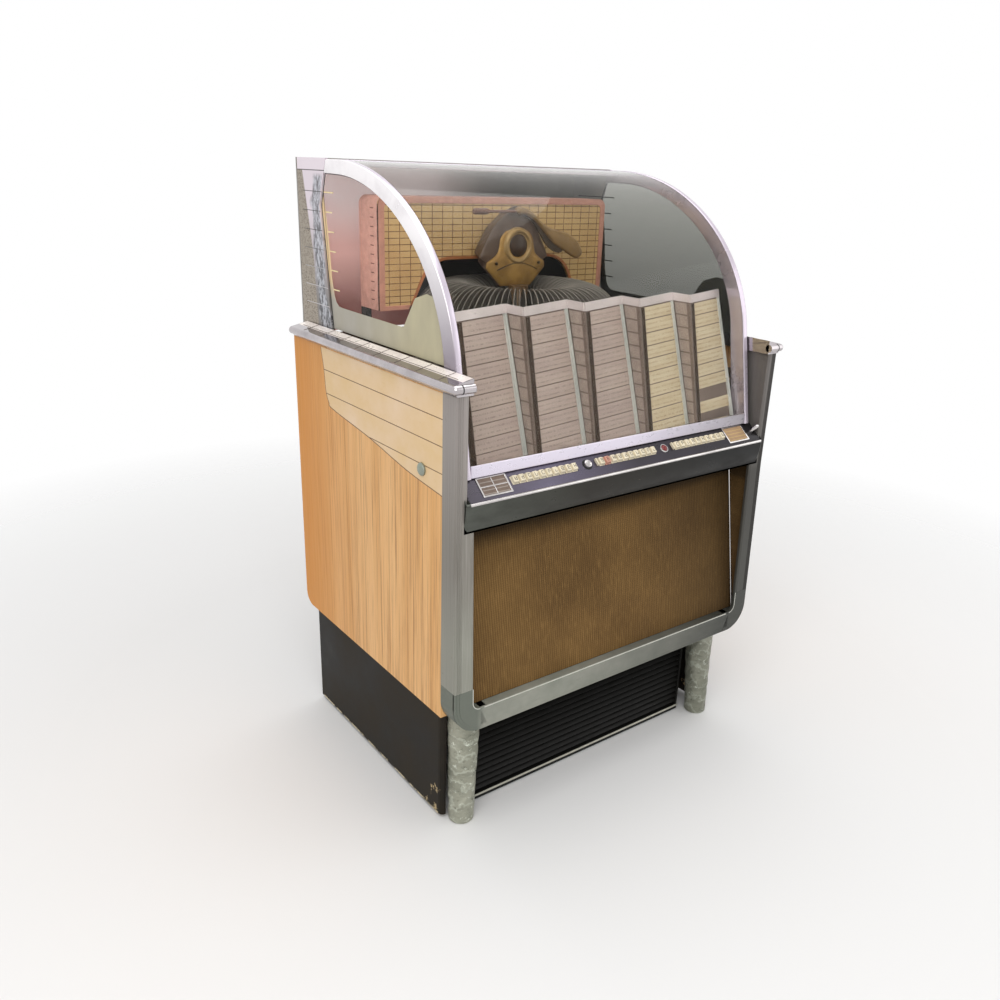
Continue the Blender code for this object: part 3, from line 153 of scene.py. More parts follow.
def swept(path, profile, up=(0, 0, 1)):
    """A closed profile (across, upward) carried along a path."""
    across, over = frames_along(path, up)
    profile = np.asarray(profile, float)
    rings = (np.asarray(path, float)[:, None] + across[:, None] * profile[None, :, :1]
            + over[:, None] * profile[None, :, 1:])
    return carried(rings)


def circle(radius, sides=16):
    """A round profile of so many sides."""
    a = np.linspace(0, 2 * np.pi, sides, endpoint=False)
    return np.stack([radius * np.cos(a), radius * np.sin(a)], 1)


def rounded(width, height, radius, steps=4):
    """A rectangle with round corners, centred, as (across, upward)."""
    w, h = width / 2 - radius, height / 2 - radius
    points = []
    for cx, cy, start in ((w, h, 0), (-w, h, 90), (-w, -h, 180), (w, -h, 270)):
        a = np.radians(np.linspace(start, start + 90, steps + 1))
        points.append(np.stack([cx + radius * np.cos(a), cy + radius * np.sin(a)], 1))
    return np.concatenate(points)


def revolved(profile, sides=48):
    """A profile (radius, height) turned round Z. A radius of zero closes on a pole."""
    profile = np.asarray(profile, float)
    a = np.linspace(0, 2 * np.pi, sides, endpoint=False)
    rings = np.stack([profile[:, :1] * np.cos(a), profile[:, :1] * np.sin(a),
            np.repeat(profile[:, 1:], sides, 1)], -1)
    points, faces = rings.reshape(-1, 3), grid_faces(len(profile), sides, False, True)
    if profile[0, 0] > 0:
        faces.append(list(range(sides))[::-1])
    if profile[-1, 0] > 0:
        faces.append(list(range(len(points) - sides, len(points))))
    return points, faces


def placed(shape, matrix):
    """A shape moved by a matrix."""
    m = np.array(matrix)
    return np.asarray(shape[0]) @ m[:3, :3].T + m[:3, 3], shape[1]


def stood(at, axis="X", angle=math.pi / 2):
    """The matrix of a turn about one axis, by a quarter unless told otherwise, and then a move."""
    return Matrix.Translation(at) @ Matrix.Rotation(angle, 4, axis)


def gathered(shapes):
    """Several shapes as one, their faces renumbered."""
    points, faces, count = [], [], 0
    for p, f in shapes:
        points.append(np.asarray(p, float))
        faces += [[i + count for i in face] for face in f]
        count += len(p)
    return np.concatenate(points), faces


def mirrored(shape):
    """The same shape on the other side of the machine."""
    points = np.array(shape[0], float)
    points[:, 0] *= -1
    return points, [face[::-1] for face in shape[1]]


def on_side(shape, side):
    """A shape drawn for the right side, put on side +1 or -1."""
    return shape if side > 0 else mirrored(shape)


def both(shape):
    """A shape drawn for the right side, together with its mirror image on the left."""
    return gathered([mirrored(shape), shape])


def smooth_line(points, steps=8):
    """A curve through points: between each pair, a cubic whose slopes come from the neighbours."""
    p = np.asarray(points, float)
    ext = np.concatenate([2 * p[:1] - p[1:2], p, 2 * p[-1:] - p[-2:-1]])
    t = np.linspace(0, 1, steps, endpoint=False)[None, :, None]
    a, b, c, d = (ext[k:len(p) - 1 + k][:, None] for k in range(4))
    curve = 0.5 * (2 * b + (c - a) * t + (2 * a - 5 * b + 4 * c - d) * t ** 2
            + (3 * b - a - 3 * c + d) * t ** 3)
    return np.concatenate([curve.reshape(-1, p.shape[1]), p[-1:]])


def arc(centre, radius, start, end, steps=8):
    """Points of an arc, angles in degrees."""
    a = np.radians(np.linspace(start, end, steps + 1))
    return np.stack([centre[0] + radius * np.cos(a), centre[1] + radius * np.sin(a)], 1)


def offset(line, distance):
    """A flat line moved to its right-hand side by one distance, or by one for each point."""
    line = np.asarray(line, float)
    tangent = np.gradient(line, axis=0)
    tangent /= np.linalg.norm(tangent, axis=1)[:, None]
    normal = np.stack([tangent[:, 1], -tangent[:, 0]], 1)
    return line + normal * np.broadcast_to(np.reshape(distance, (-1, 1)), (len(line), 1))


def ribbon(line, width):
    """A closed outline round a flat line, half the width to each side."""
    return np.concatenate([offset(line, width / 2), offset(line, -width / 2)[::-1]])


def piece(name, shape, material, body="cabinet", crease=35, closed=True, node=None):
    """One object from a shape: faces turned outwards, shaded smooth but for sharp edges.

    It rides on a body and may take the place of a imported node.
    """
    points, faces = shape
    mesh = bpy.data.meshes.new(name)
    mesh.from_pydata(np.asarray(points, float).tolist(), [], faces)
    if closed:
        work = bmesh.new()
        work.from_mesh(mesh)
        bmesh.ops.remove_doubles(work, verts=work.verts, dist=1e-6)
        bmesh.ops.recalc_face_normals(work, faces=work.faces)
        work.to_mesh(mesh)
        work.free()
    mesh.shade_smooth()
    mesh.set_sharp_from_angle(angle=math.radians(crease))
    mesh.materials.append(material)
    made = bpy.data.objects.new(name, mesh)
    bpy.context.scene.collection.objects.link(made)
    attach(made, body)
    if node:
        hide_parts(node)
    return made


def eased(made, width, segments=2, angle=40):
    """Rounds a piece's edges."""
    step = made.modifiers.new("eased", "BEVEL")
    step.width = width
    step.segments = segments
    step.limit_method = "ANGLE"
    step.angle_limit = math.radians(angle)
    return made


# Finishes


def shade(red, green, blue):
    """A colour given as the screen shows it, 0 to 255, as the linear values that sockets take."""
    c = np.array([red, green, blue]) / 255
    linear = np.where(c <= 0.04045, c / 12.92, ((c + 0.055) / 1.055) ** 2.4)
    return (*linear.tolist(), 1.0)


class Nodes:
    """A node tree with short ways to add to it. A value is a number or another node's socket."""

    def __init__(self, tree):
        """Takes the tree to add to."""
        self.tree = tree

    def join(self, value, socket):
        """Sets an input, or links it when the value comes from another node."""
        if isinstance(value, bpy.types.NodeSocket):
            self.tree.links.new(value, socket)
        else:
            socket.default_value = value

    def add(self, kind, inputs, out=0, **props):
        """One node with its inputs set or linked. Returns the output socket asked for."""
        made = self.tree.nodes.new(kind)
        for key, value in props.items():
            setattr(made, key, value)
        for key, value in inputs.items():
            self.join(value, made.inputs[key])
        return made.outputs[out]

    def calc(self, operation, *values):
        """A Math node."""
        return self.add("ShaderNodeMath", dict(enumerate(values)), operation=operation)

    def span(self, value, low, high, out_low=0.0, out_high=1.0):
        """A value mapped from one range to another and kept inside it."""
        return self.add("ShaderNodeMapRange", {"Value": value, "From Min": low, "From Max": high,
                "To Min": out_low, "To Max": out_high})


class Finish(Nodes):
    """A Principled material while it is made. Colours are screen values, 0 to 255, or sockets."""

    def __init__(self, name, tone, roughness=0.5, metallic=0.0, **more):
        """Makes the material with its plain values and the machine's own coordinates."""
        self.material = bpy.data.materials.new(name)
        self.material.use_nodes = True
        super().__init__(self.material.node_tree)
        self.shader = self.tree.nodes["Principled BSDF"]
        self.base = self.paint(tone)
        for key, value in {"Base Color": self.base, "Roughness": roughness, "Metallic": metallic,
                **more}.items():
            self.feed(key.replace("_", " "), value)
        self.where = self.add("ShaderNodeTexCoord", {}, "Object")
        parts = self.add("ShaderNodeSeparateXYZ", {0: self.where}).node
        self.x, self.y, self.z = parts.outputs

    @staticmethod
    def paint(tone):
        """Three screen values as a linear colour. Four numbers, or a socket, stay as they are."""
        return shade(*tone) if isinstance(tone, tuple) and len(tone) == 3 else tone

    def feed(self, socket, value):
        """Sets or links one input of the shader."""
        self.join(value, self.shader.inputs[socket])

    def noise(self, scale, detail=4.0, rough=0.55, stretch=None):
        """Noise over the machine's own coordinates, in metres, with a scale for each axis."""
        vector = self.where
        if stretch:
            vector = self.add("ShaderNodeMapping", {"Vector": vector, "Scale": stretch})
        return self.add("ShaderNodeTexNoise", {"Vector": vector, "Scale": scale, "Detail": detail,
                "Roughness": rough})

    def mix(self, share, first, second):
        """Two colours mixed by a share."""
        colours = {0: share, 6: self.paint(first), 7: self.paint(second)}
        return self.add("ShaderNodeMix", colours, 2, data_type="RGBA", blend_type="MIX")

    def tones(self, value, low, high, first, second):
        """The base colour goes from one tone to another as a value rises."""
        self.base = self.mix(self.span(value, low, high), first, second)

    def cover(self, value, low, high, most, tone):
        """A tone laid over the base colour, by up to a share, as a value rises."""
        self.base = self.mix(self.span(value, low, high, 0.0, most), self.base, tone)

    def rough(self, value, low, high, least, most):
        """The roughness, between two values."""
        self.feed("Roughness", self.span(value, low, high, least, most))

    def bump(self, height, distance, strength=1.0):
        """A bump of a real height in metres."""
        self.feed("Normal", self.add("ShaderNodeBump", {"Height": height, "Distance": distance,
                "Strength": strength}, "Normal"))

    def clear_by(self, share, tint=(1.0, 1.0, 1.0, 1.0)):
        """Light goes straight through by a share, in a tint."""
        through = self.add("ShaderNodeBsdfTransparent", {"Color": tint}, "BSDF")
        mixed = self.add("ShaderNodeMixShader", {0: share, 1: self.shader.outputs["BSDF"],
                2: through}, "Shader")
        self.join(mixed, self.tree.nodes["Material Output"].inputs["Surface"])

    def done(self):
        """The finished material."""
        self.feed("Base Color", self.base)
        return self.material


def honey_wood():
    """Straight golden veneer: thin broken brown streaks, fine pores and an orange rear edge."""
    f = Finish("veneer_honey", (212, 162, 102), 0.42)
    streak = f.noise(1.0, 6.0, 0.7, (1.0, 230.0, 2.0))
    fine = f.noise(1.0, 3.0, 0.7, (4.0, 520.0, 9.0))
    f.tones(f.noise(3.0, 3.0, stretch=(1.0, 11.0, 0.35)), 0.35, 0.65, (236, 185, 122), (222, 166, 98))
    f.cover(f.noise(1.3, 5.0, 0.65, (1.0, 130.0, 2.4)), 0.53, 0.60, 0.40, (160, 106, 52))
    f.cover(streak, 0.55, 0.61, 0.55, (146, 94, 44))
    f.cover(fine, 0.52, 0.74, 0.42, (132, 86, 42))
    f.cover(f.y, 0.03, 0.28, 0.85, (210, 132, 12))
    f.rough(streak, 0.3, 0.7, 0.38, 0.54)
    f.bump(fine, 0.0002, 0.5)
    return f.done()


def pale_vinyl():
    """Aged cream vinyl with faint clouds, rub marks and a soft sheen."""
    f = Finish("vinyl_cream", (228, 198, 150), 0.38)
    scuff = f.noise(42.0, 5.0, 0.7, (1.0, 1.0, 3.0))
    f.tones(f.noise(9.0), 0.35, 0.7, (226, 192, 140), (234, 205, 172))
    f.cover(scuff, 0.62, 0.8, 0.5, (196, 160, 112))
    f.rough(scuff, 0.3, 0.7, 0.32, 0.5)
    f.bump(f.noise(900.0, 2.0), 0.00012, 0.5)
    return f.done()


def score_paint():
    """The scored lines: dark high up, pale low down."""
    f = Finish("score_paint", (90, 86, 86), 0.5)
    level = f.calc("ADD", f.z, f.calc("MULTIPLY", f.noise(40.0, 3.0), 0.03))
    f.tones(level, 1.07, 1.15, (206, 202, 204), (52, 48, 46))
    return f.done()


def arch_plate():
    """Plated arch with painted light: its outer face goes from lavender at the foot to white above, a painted
    highlight, and its front and inner edges keep a greyer tone, painted shade.
    """
    f = Finish("arch_plate", (206, 198, 204), 0.2, 0.55)
    haze = f.noise(11.0, 5.0, 0.6)
    # Painted highlight: the outer face whitens from the foot upwards; the front and inner edges keep a greyer
    # tone, painted shade.
    side = f.mix(f.span(f.z, 0.98, 1.18), (154, 145, 154), (254, 250, 252))
    f.tones(f.calc("ABSOLUTE", f.x), arch_outer - 0.0028, arch_outer - 0.001, (206, 196, 208), side)
    f.cover(haze, 0.45, 0.75, 0.35, (150, 140, 148))
    f.cover(f.noise(420.0, 3.0, 0.7), 0.66, 0.78, 0.6, (92, 82, 78))
    f.rough(haze, 0.3, 0.75, 0.14, 0.34)
    f.bump(haze, 0.0004, 0.25)
    return f.done()


def sill_paint():
    """Pale lilac plate along the dome's foot, with painted shade greying it towards its right end, and small
    rub marks.
    """
    f = Finish("sill_plate", (226, 220, 234), 0.28, 0.3)
    rub = f.noise(90.0, 5.0, 0.7, (0.5, 1.0, 1.0))
    # Painted shade: greyer towards the right end.
    f.tones(f.x, 0.0, 0.34, (230, 223, 238), (168, 163, 170))
    f.cover(rub, 0.64, 0.76, 0.6, (130, 122, 128))
    f.rough(rub, 0.3, 0.7, 0.22, 0.40)
    return f.done()


def plate_along(name, tones, roughness, metallic):
    """Worn plate whose tone changes along its length, as painted light: tones are (x, colour) from left to
    right.
    """
    f = Finish(name, tones[0][1], roughness, metallic)
    haze = f.noise(26.0, 5.0, 0.6, (0.4, 1.0, 1.0))
    # Painted light: the tones along x stand in for reflection and shade.
    for (start, _), (end, tone) in zip(tones, tones[1:]):
        f.cover(f.x, start, end, 1.0, tone)
    f.cover(haze, 0.45, 0.75, 0.5, tuple(int(0.62 * c) for c in tones[1][1]))
    f.cover(f.noise(300.0, 4.0, 0.7), 0.68, 0.78, 0.6, (150, 144, 138))
    f.rough(haze, 0.3, 0.75, roughness * 0.7, roughness * 1.9)
    f.bump(haze, 0.0004, 0.3)
    return f.done()


def painted_line():
    """Thin brown inlay between the vinyl and the wood."""
    f = Finish("inlay_brown", (92, 60, 34), 0.5)
    f.base = f.mix(f.noise(130.0, 3.0), (80, 50, 28), (126, 86, 50))
    return f.done()


def black_board():
    """Black painted board with dust, pale scratches and a few chips to the wood."""
    f = Finish("board_black", (40, 36, 27), 0.5, Specular_IOR_Level=0.18)
    dust = f.noise(5.0, 5.0, 0.6)
    scratch = f.noise(60.0, 5.0, 0.75, (1.0, 1.0, 0.25))
    corner = f.calc("MULTIPLY", f.span(f.y, -0.12, -0.24), f.span(f.z, 0.13, 0.02))
    worn = f.calc("ADD", f.noise(26.0, 6.0, 0.75), f.calc("MULTIPLY", corner, 0.17))
    f.tones(dust, 0.38, 0.72, (17, 14, 10), (46, 39, 28))
    f.cover(scratch, 0.70, 0.76, 0.55, (140, 124, 98))
    f.cover(worn, 0.715, 0.74, 1.0, (190, 168, 128))
    f.rough(dust, 0.3, 0.7, 0.42, 0.66)
    f.bump(scratch, 0.0003, 0.4)
    return f.done()


def worn_edge():
    """Cream paint on an edge, rubbed through to black."""
    f = Finish("edge_worn", (196, 180, 148), 0.5)
    f.tones(f.noise(34.0, 5.0, 0.7), 0.47, 0.56, (202, 188, 156), (44, 38, 28))
    return f.done()


def pillar_finish(name, edge_shade, shadow):
    """Dull alloy, mauve at its head and greenish at its foot.

    Painted shade darkens it all over by one share, more below the selector, and at its outer edge by another
    share.
    """
    f = Finish(name, (146, 143, 134), 0.42, 0.35)
    drawn = f.noise(1.4, 3.0, stretch=(300.0, 300.0, 1.5))
    f.tones(f.z, 0.45, 0.60, (144, 144, 133), (130, 125, 117))
    f.cover(f.z, 0.66, 0.86, 1.0, (154, 146, 142))
    f.cover(drawn, 0.4, 0.7, 0.30, (186, 183, 176))
    # Painted shade: darker all over by the share shadow, more below the selector.
    f.base = f.mix(f.span(f.z, 0.66, 0.70, min(1.0, 1.4 * shadow), shadow), f.base, (46, 45, 42))
    f.cover(f.noise(62.0, 4.0, 0.7), 0.66, 0.78, 0.55, (96, 90, 82))
    # Painted shade along the outer edge of the face.
    f.cover(f.calc("ABSOLUTE", f.x), 0.409, 0.415, edge_shade, (48, 46, 43))
    f.rough(drawn, 0.3, 0.7, 0.36, 0.54)
    f.bump(drawn, 0.00005, 0.4)
    return f.done()


def hood_skin():
    """Bright plate: pinkish head over a dark seam, a dark wavy band by the parting, a brown rear."""
    f = Finish("hood_skin", (206, 200, 204), 0.28, 0.45)
    parting_y = f.calc("ADD", f.span(f.z, 0.961, 1.209, 0.199, 0.236),
            f.span(f.z, 1.209, 1.298, 0.0, -0.0325))
    rear = f.calc("ADD", f.span(f.z, 0.97, 1.11, 0.2655, 0.2765), f.span(f.z, 1.11, 1.2775, 0.0, 0.039))
    wave = f.noise(24.0, 4.0, 0.6, (1.0, 1.0, 0.7))
    sway = f.calc("MULTIPLY", f.calc("SUBTRACT", wave, 0.5), 0.056)
    waved = f.calc("ADD", f.calc("SUBTRACT", f.y, parting_y), sway)
    band = f.calc("MULTIPLY", f.span(waved, 0.006, 0.013), f.span(waved, 0.052, 0.042))
    band = f.calc("MULTIPLY", band, f.span(f.z, 1.272, 1.262))
    ripple = f.noise(60.0, 4.0, 0.7, (1.0, 2.4, 1.0))
    f.tones(f.z, 1.02, 1.20, (128, 123, 120), (226, 214, 222))
    dark = f.mix(f.span(ripple, 0.42, 0.58), (58, 60, 66), (196, 198, 206))
    f.base = f.mix(f.calc("MULTIPLY", band, 0.85), f.base, dark)
    dots = f.add("ShaderNodeTexVoronoi", {"Vector": f.where, "Scale": 290.0}, "Distance")
    speckled = f.mix(f.span(dots, 0.30, 0.45), (104, 92, 78), (158, 147, 132))
    f.cover(f.calc("SUBTRACT", f.y, rear), -0.0015, 0.0015, 1.0, speckled)
    f.cover(f.z, 1.2762, 1.2768, 1.0, (234, 222, 230))
    seam = f.calc("MULTIPLY", f.span(f.z, 1.2750, 1.2754), f.span(f.z, 1.2772, 1.2768))
    f.base = f.mix(seam, f.base, (70, 64, 66))
    f.bump(wave, 0.0006, 0.3)
    return f.done()


def lining():
    """The hood's painted inside: mauve-pink on the left, grey-green on the right, darker low down; its left
    half glows faintly, painted light.
    """
    f = Finish("hood_lining", (190, 172, 170), 0.6)
    cloud = f.noise(8.0)
    f.tones(f.z, 0.99, 1.10, (140, 84, 76), (244, 196, 190))
    f.cover(f.z, 1.12, 1.22, 1.0, (250, 236, 238))
    f.cover(cloud, 0.4, 0.7, 0.3, (226, 190, 184))
    right = f.mix(f.span(cloud, 0.35, 0.7), (172, 174, 168), (142, 144, 138))
    f.cover(f.x, -0.05, 0.15, 1.0, right)
    # Painted light: the left side glows faintly, though no lamp is there.
    f.feed("Emission Color", f.base)
    f.feed("Emission Strength", f.span(f.x, 0.1, -0.1, 0.0, 0.32))
    return f.done()


def brushed_alloy(name, first, second, roughness=0.38, metallic=0.75, along="z"):
    """Drawn alloy: streaks along its length, dull patches and small dents."""
    f = Finish(name, first, roughness, metallic)
    streak = f.noise(1.5, 3.0, stretch=tuple(1.0 if axis == along else 260.0 for axis in "xyz"))
    patch = f.noise(7.0, 4.0, 0.6)
    f.tones(patch, 0.35, 0.68, first, second)
    f.cover(streak, 0.35, 0.7, 0.3, (214, 212, 208))
    f.cover(f.noise(70.0, 4.0, 0.7), 0.68, 0.78, 0.6, (92, 86, 78))
    f.rough(patch, 0.3, 0.7, roughness - 0.06, roughness + 0.14)
    f.bump(streak, 0.00005, 0.4)
    return f.done()


def worn_chrome(name, tint, roughness):
    """Bright plate, hazed in patches, with fine pitting and wipe marks."""
    f = Finish(name, tint, roughness, 1.0)
    haze = f.noise(11.0, 5.0, 0.6)
    f.cover(haze, 0.4, 0.75, 0.55, (126, 120, 122))
    f.cover(f.noise(420.0, 3.0, 0.7), 0.66, 0.78, 0.7, (70, 62, 56))
    f.rough(f.noise(6.0, stretch=(12.0, 3.0, 20.0)), 0.3, 0.75, roughness * 0.6, roughness * 2.2)
    f.bump(haze, 0.0004, 0.25)
    return f.done()


# Dome, glass and hood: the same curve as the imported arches, in finer steps

dome_foot = (-0.311, 0.770)
dome_centre = (0.160, 0.930)
dome_reach, dome_rise = 0.437, 0.368
dome_hinge = 0.2035
arch_foot_width, arch_top_width = 0.042, 0.027
arch_round = 0.0022
parting_heights = (0.961, 1.209, 1.298)
parting_places = (0.199, 0.236, 0.2035)
sill_top = glass_low.z - gap
sill_front = -0.3085
sill_thickness = 0.004
bar_front, bar_foot = 0.1655, 1.286
pane_inset, pane_thickness = 0.001, 0.005 - 0.001
side_pane_low, side_pane_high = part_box("side_glass_left")
side_pane_outer, side_pane_inner = -side_pane_low.x, -side_pane_high.x
ledge_top = side_pane_low.z - 2 * gap


def dome_line(steps=96):
    """The dome from the side, as (y, z): a foot that meets an ellipse on its tangent, then flat."""
    u = (dome_centre[0] - dome_foot[0]) / dome_reach
    w = (dome_centre[1] - dome_foot[1]) / dome_rise
    start = math.acos(1 / math.hypot(u, w)) - math.atan2(w, u)
    a = np.linspace(start, np.pi / 2, steps)
    curve = np.stack([dome_centre[0] - dome_reach * np.cos(a),
            dome_centre[1] + dome_rise * np.sin(a)], 1)
    foot = np.linspace(dome_foot, curve[0], 9)[:-1]
    top = np.linspace(curve[-1], (dome_hinge, curve[-1, 1]), 4)[1:]
    return np.concatenate([foot, curve, top])


def parting(z):
    """How far back the dome ends at a height."""
    return np.interp(z, parting_heights, parting_places)


def inner_line():
    """The arch's inner edge: the dome line moved inwards, less and less from foot to hinge."""
    line = dome_line()
    run = np.concatenate([[0], np.cumsum(np.linalg.norm(np.diff(line, axis=0), axis=1))])
    inner = offset(line, arch_foot_width + (arch_top_width - arch_foot_width) * run / run[-1])
    inner[0, 1] = dome_foot[1]
    inner[-1, 0] = parting(inner[-1, 1])
    return inner


def arch(side):
    """One arch: a box section with round edges, from the outer line to the inner one."""
    outer, inner = dome_line(), inner_line()
    width = np.linalg.norm(inner - outer, axis=1)[:, None]
    inward = (inner - outer) / width
    half = (arch_outer - arch_inner) / 2
    turn = np.radians(np.linspace(0, 90, 4))
    corner = arch_round * np.stack([1 - np.sin(turn), 1 - np.cos(turn)], 1)
    ring_x, ring_n, from_inner = [], [], []
    for sx, at_inner in ((-1, 0), (-1, 1), (1, 1), (1, 0)):
        order = corner if (sx < 0) == (at_inner == 0) else corner[::-1]
        for dx, dn in order:
            ring_x.append((arch_inner + arch_outer) / 2 + sx * (half - dx))
            ring_n.append(dn)
            from_inner.append(at_inner)
    ring_n, from_inner = np.array(ring_n), np.array(from_inner)
    along = np.where(from_inner == 1, width - ring_n, ring_n)
    flat = outer[:, None] + inward[:, None] * along[..., None]
    rings = np.concatenate([np.broadcast_to(ring_x, along.shape)[..., None], flat], 2)
    return on_side(carried(rings), side)


def bent_pane():
    """The bent front glass: two offsets of the dome line, from the sill to the rear bar."""
    line = dome_line()
    line = line[(line[:, 1] >= sill_top) & (line[:, 0] <= bar_front)]
    slope = (dome_line()[1] - dome_line()[0])
    foot = dome_line()[0] + slope * (sill_top - dome_foot[1]) / slope[1]
    line = np.concatenate([[foot], line[line[:, 1] > sill_top + gap], [(bar_front - gap, line[-1, 1])]])
    outer, inner = offset(line, pane_inset), offset(line, pane_inset + pane_thickness)
    outer[0, 1] = inner[0, 1] = sill_top + gap
    half = arch_inner - gap
    x = np.array([-half, half, half, -half])
    flat = np.stack([outer, outer, inner, inner], 1)
    return carried(np.concatenate([np.broadcast_to(x[:, None], (len(line), 4, 1)), flat], 2))


def side_pane_outline(foot):
    """The side glass from the side: the arch's inner edge, then down the parting line."""
    inner = offset(inner_line(), gap)
    front = np.interp(foot, inner[:6, 1], inner[:6, 0])
    above = inner[inner[:, 1] > foot + gap]
    above[-1] = (parting(above[-1, 1]), above[-1, 1])
    kink = (parting_places[1], parting_heights[1])
    return np.concatenate([[(front, foot)], above, [kink, (parting(foot), foot)]])


def side_pane(side):
    """The side glass."""
    outline = side_pane_outline(side_pane_low.z)
    return on_side(extruded(outline, "x", side_pane_inner, side_pane_outer), side)


hood_wall = 0.006
hood_gap = 0.001
strip_front = 0.318
score_heights = tuple(1.235 - 0.0383 * k for k in range(7))
score_width = 0.0012
tick_length = 0.043
tick_face, tick_behind = (0.00015, 0.0003), (0.0, 0.0001)


def hood_outline(rear):
    """A hood side from the parting line back to a given place."""
    foot = hood_low.z
    line = [(parting(z) + hood_gap, z) for z in (overall_height - hood_gap * 2, parting_heights[1],
            parting_heights[0])]
    line[0] = (line[0][0], overall_height)
    return line + [(line[-1][0], foot), (rear, foot), (rear, overall_height)]


def hood_side(side):
    """One side of the hood."""
    outline = hood_outline(strip_front)
    return on_side(extruded(outline, "x", arch_outer - hood_wall, arch_outer), side)


def hood_shell():
    """The hood's top and back."""
    w, half = hood_wall, arch_outer
    top = slab((-half + w, parting(1.298) + hood_gap, overall_height - w),
            (half - w, rear_y - w, overall_height))
    back = slab((-half, rear_y - w, hood_low.z), (half, rear_y, overall_height))
    return gathered([top, back])


def hood_edges():
    """The narrow strip down each rear edge."""
    return both(slab((arch_outer - hood_wall, strip_front + gap, hood_low.z),
            (arch_outer, rear_y - hood_wall, overall_height)))


def hood_inside():
    """Thin painted linings inside the hood's sides and back."""
    w, t = hood_wall + gap, 0.001
    half, back, foot, head = arch_outer - w, rear_y - w, hood_low.z, overall_height - w
    outline = [(y, min(z, head)) for y, z in hood_outline(back)]
    return gathered([slab((-half + t, back - t, foot), (half - t, back, head)),
            both(extruded(outline, "x", half - t, half))])


def inner_scores():
    """The same level lines where they show inside the hood."""
    half = arch_outer - hood_wall - 2 * gap - 0.001
    return gathered([both(slab((half - gap, parting(z) + hood_gap, z - score_width),
            (half, strip_front, z + score_width))) for z in score_heights])


def score_lines(side):
    """Thin level lines scored across the hood side, which go on as ticks on the glass."""
    lines = []
    for z in score_heights:
        low, high = z - score_width / 2, z + score_width / 2
        lines.append(slab((arch_outer, parting(z) + hood_gap, low), (arch_outer + 0.0003, strip_front, high)))
    return on_side(gathered(lines), side)


def glass_ticks(side, low, high):
    """Ticks on the side glass in line with the scores, from one height off it to another."""
    lines = [slab((side_pane_outer + low, parting(z) - tick_length, z - 1.4 * score_width),
            (side_pane_outer + high, parting(z), z + 0.7 * score_width))
            for z in score_heights]
    return on_side(gathered(lines), side)


window_edge = ((0.2285, 1.2350), (0.2228, 1.2085), (0.2129, 1.1620), (0.2058, 1.1140),
        (0.2010, 1.0652), (0.1917, 1.0317),
        (0.1850, 1.0190), (0.1730, 1.0110), (0.1556, 1.0098), (0.0457, 1.0088),
        (-0.0912, 1.0081), (-0.1331, 1.0669),
        (-0.1726, 1.0794))


def border_band(side):
    """The painted border round the side window: thin at the kink, deep below and in front."""
    foot = side_pane_low.z + gap
    rear = [(parting(z) - gap, z) for z in (foot, parting_heights[1], window_edge[0][1])]
    line = inner_line()
    line = line[(line[:, 1] > foot) & (line[:, 1] < window_edge[-1][1])][::-1] + (4 * gap, 0)
    front_low = np.interp(foot, inner_line()[:12, 1], inner_line()[:12, 0])
    outline = [*rear, *window_edge, *line, (front_low + 4 * gap, foot)]
    t = side_pane_outer + gap
    return on_side(extruded(outline, "x", t, t + gap), side)


def seal_line(side):
    """The thin black seal on the parting line and inside the arch."""
    zs = np.linspace(ledge_top, 1.268, 24)
    rear = np.stack([parting(zs) + hood_gap / 2, zs], 1)
    shapes = [extruded(ribbon(rear, 0.0022), "x", side_pane_outer + gap, side_pane_outer + 4 * gap)]
    inner = offset(inner_line(), 0.0006)
    inner = inner[inner[:, 1] > ledge_top]
    shapes.append(extruded(ribbon(inner, 0.0018), "x", side_pane_outer + gap, side_pane_outer + 4 * gap))
    return on_side(gathered(shapes), side)


# Belt trim

belt_foot = panel_top + gap
roll_radius = 0.0085
roll_x = belt_outer - roll_radius
roll_z = belt_foot + 0.004 + roll_radius
belt_start = belt_low.y + roll_radius
tile_pitch = 0.077
tile_line = 0.0012


def belt(side):
    """The ledge that falls to a round roll, carried to the front, where a tube runs across."""
    roll = arc((roll_x, roll_z), roll_radius, -90, 84, 20)
    outline = np.concatenate([[(belt_inner, belt_foot), (body_half, belt_foot)], roll,
            [(belt_inner, ledge_top)]])
    bar = extruded(outline, "y", belt_start, belt_high.y)
    r, run = roll_radius, roll_x - belt_inner
    tube = placed(revolved([(0, 0), (r, 0), (r, run), (0, run)], 32),
            stood((belt_inner, belt_start, roll_z), "Y"))
    a = np.radians(np.linspace(-90, 90, 13))
    ball = placed(revolved(np.stack([r * np.abs(np.cos(a)) * (np.abs(a) < 1.57), r * np.sin(a)], 1), 32),
            Matrix.Translation((roll_x, belt_start, roll_z)))
    return on_side(gathered([bar, tube, ball]), side)


def belt_ledge(side):
    """The pale plated tiles on the ledge's fall."""
    top = np.array([(belt_inner + 0.001, ledge_top - 0.0004), (roll_x - 0.001, roll_z + roll_radius)])
    outline = np.concatenate([top, top[::-1] + (0, 0.0003)])
    return on_side(extruded(outline, "y", belt_start + 0.002, belt_high.y - 0.001), side)


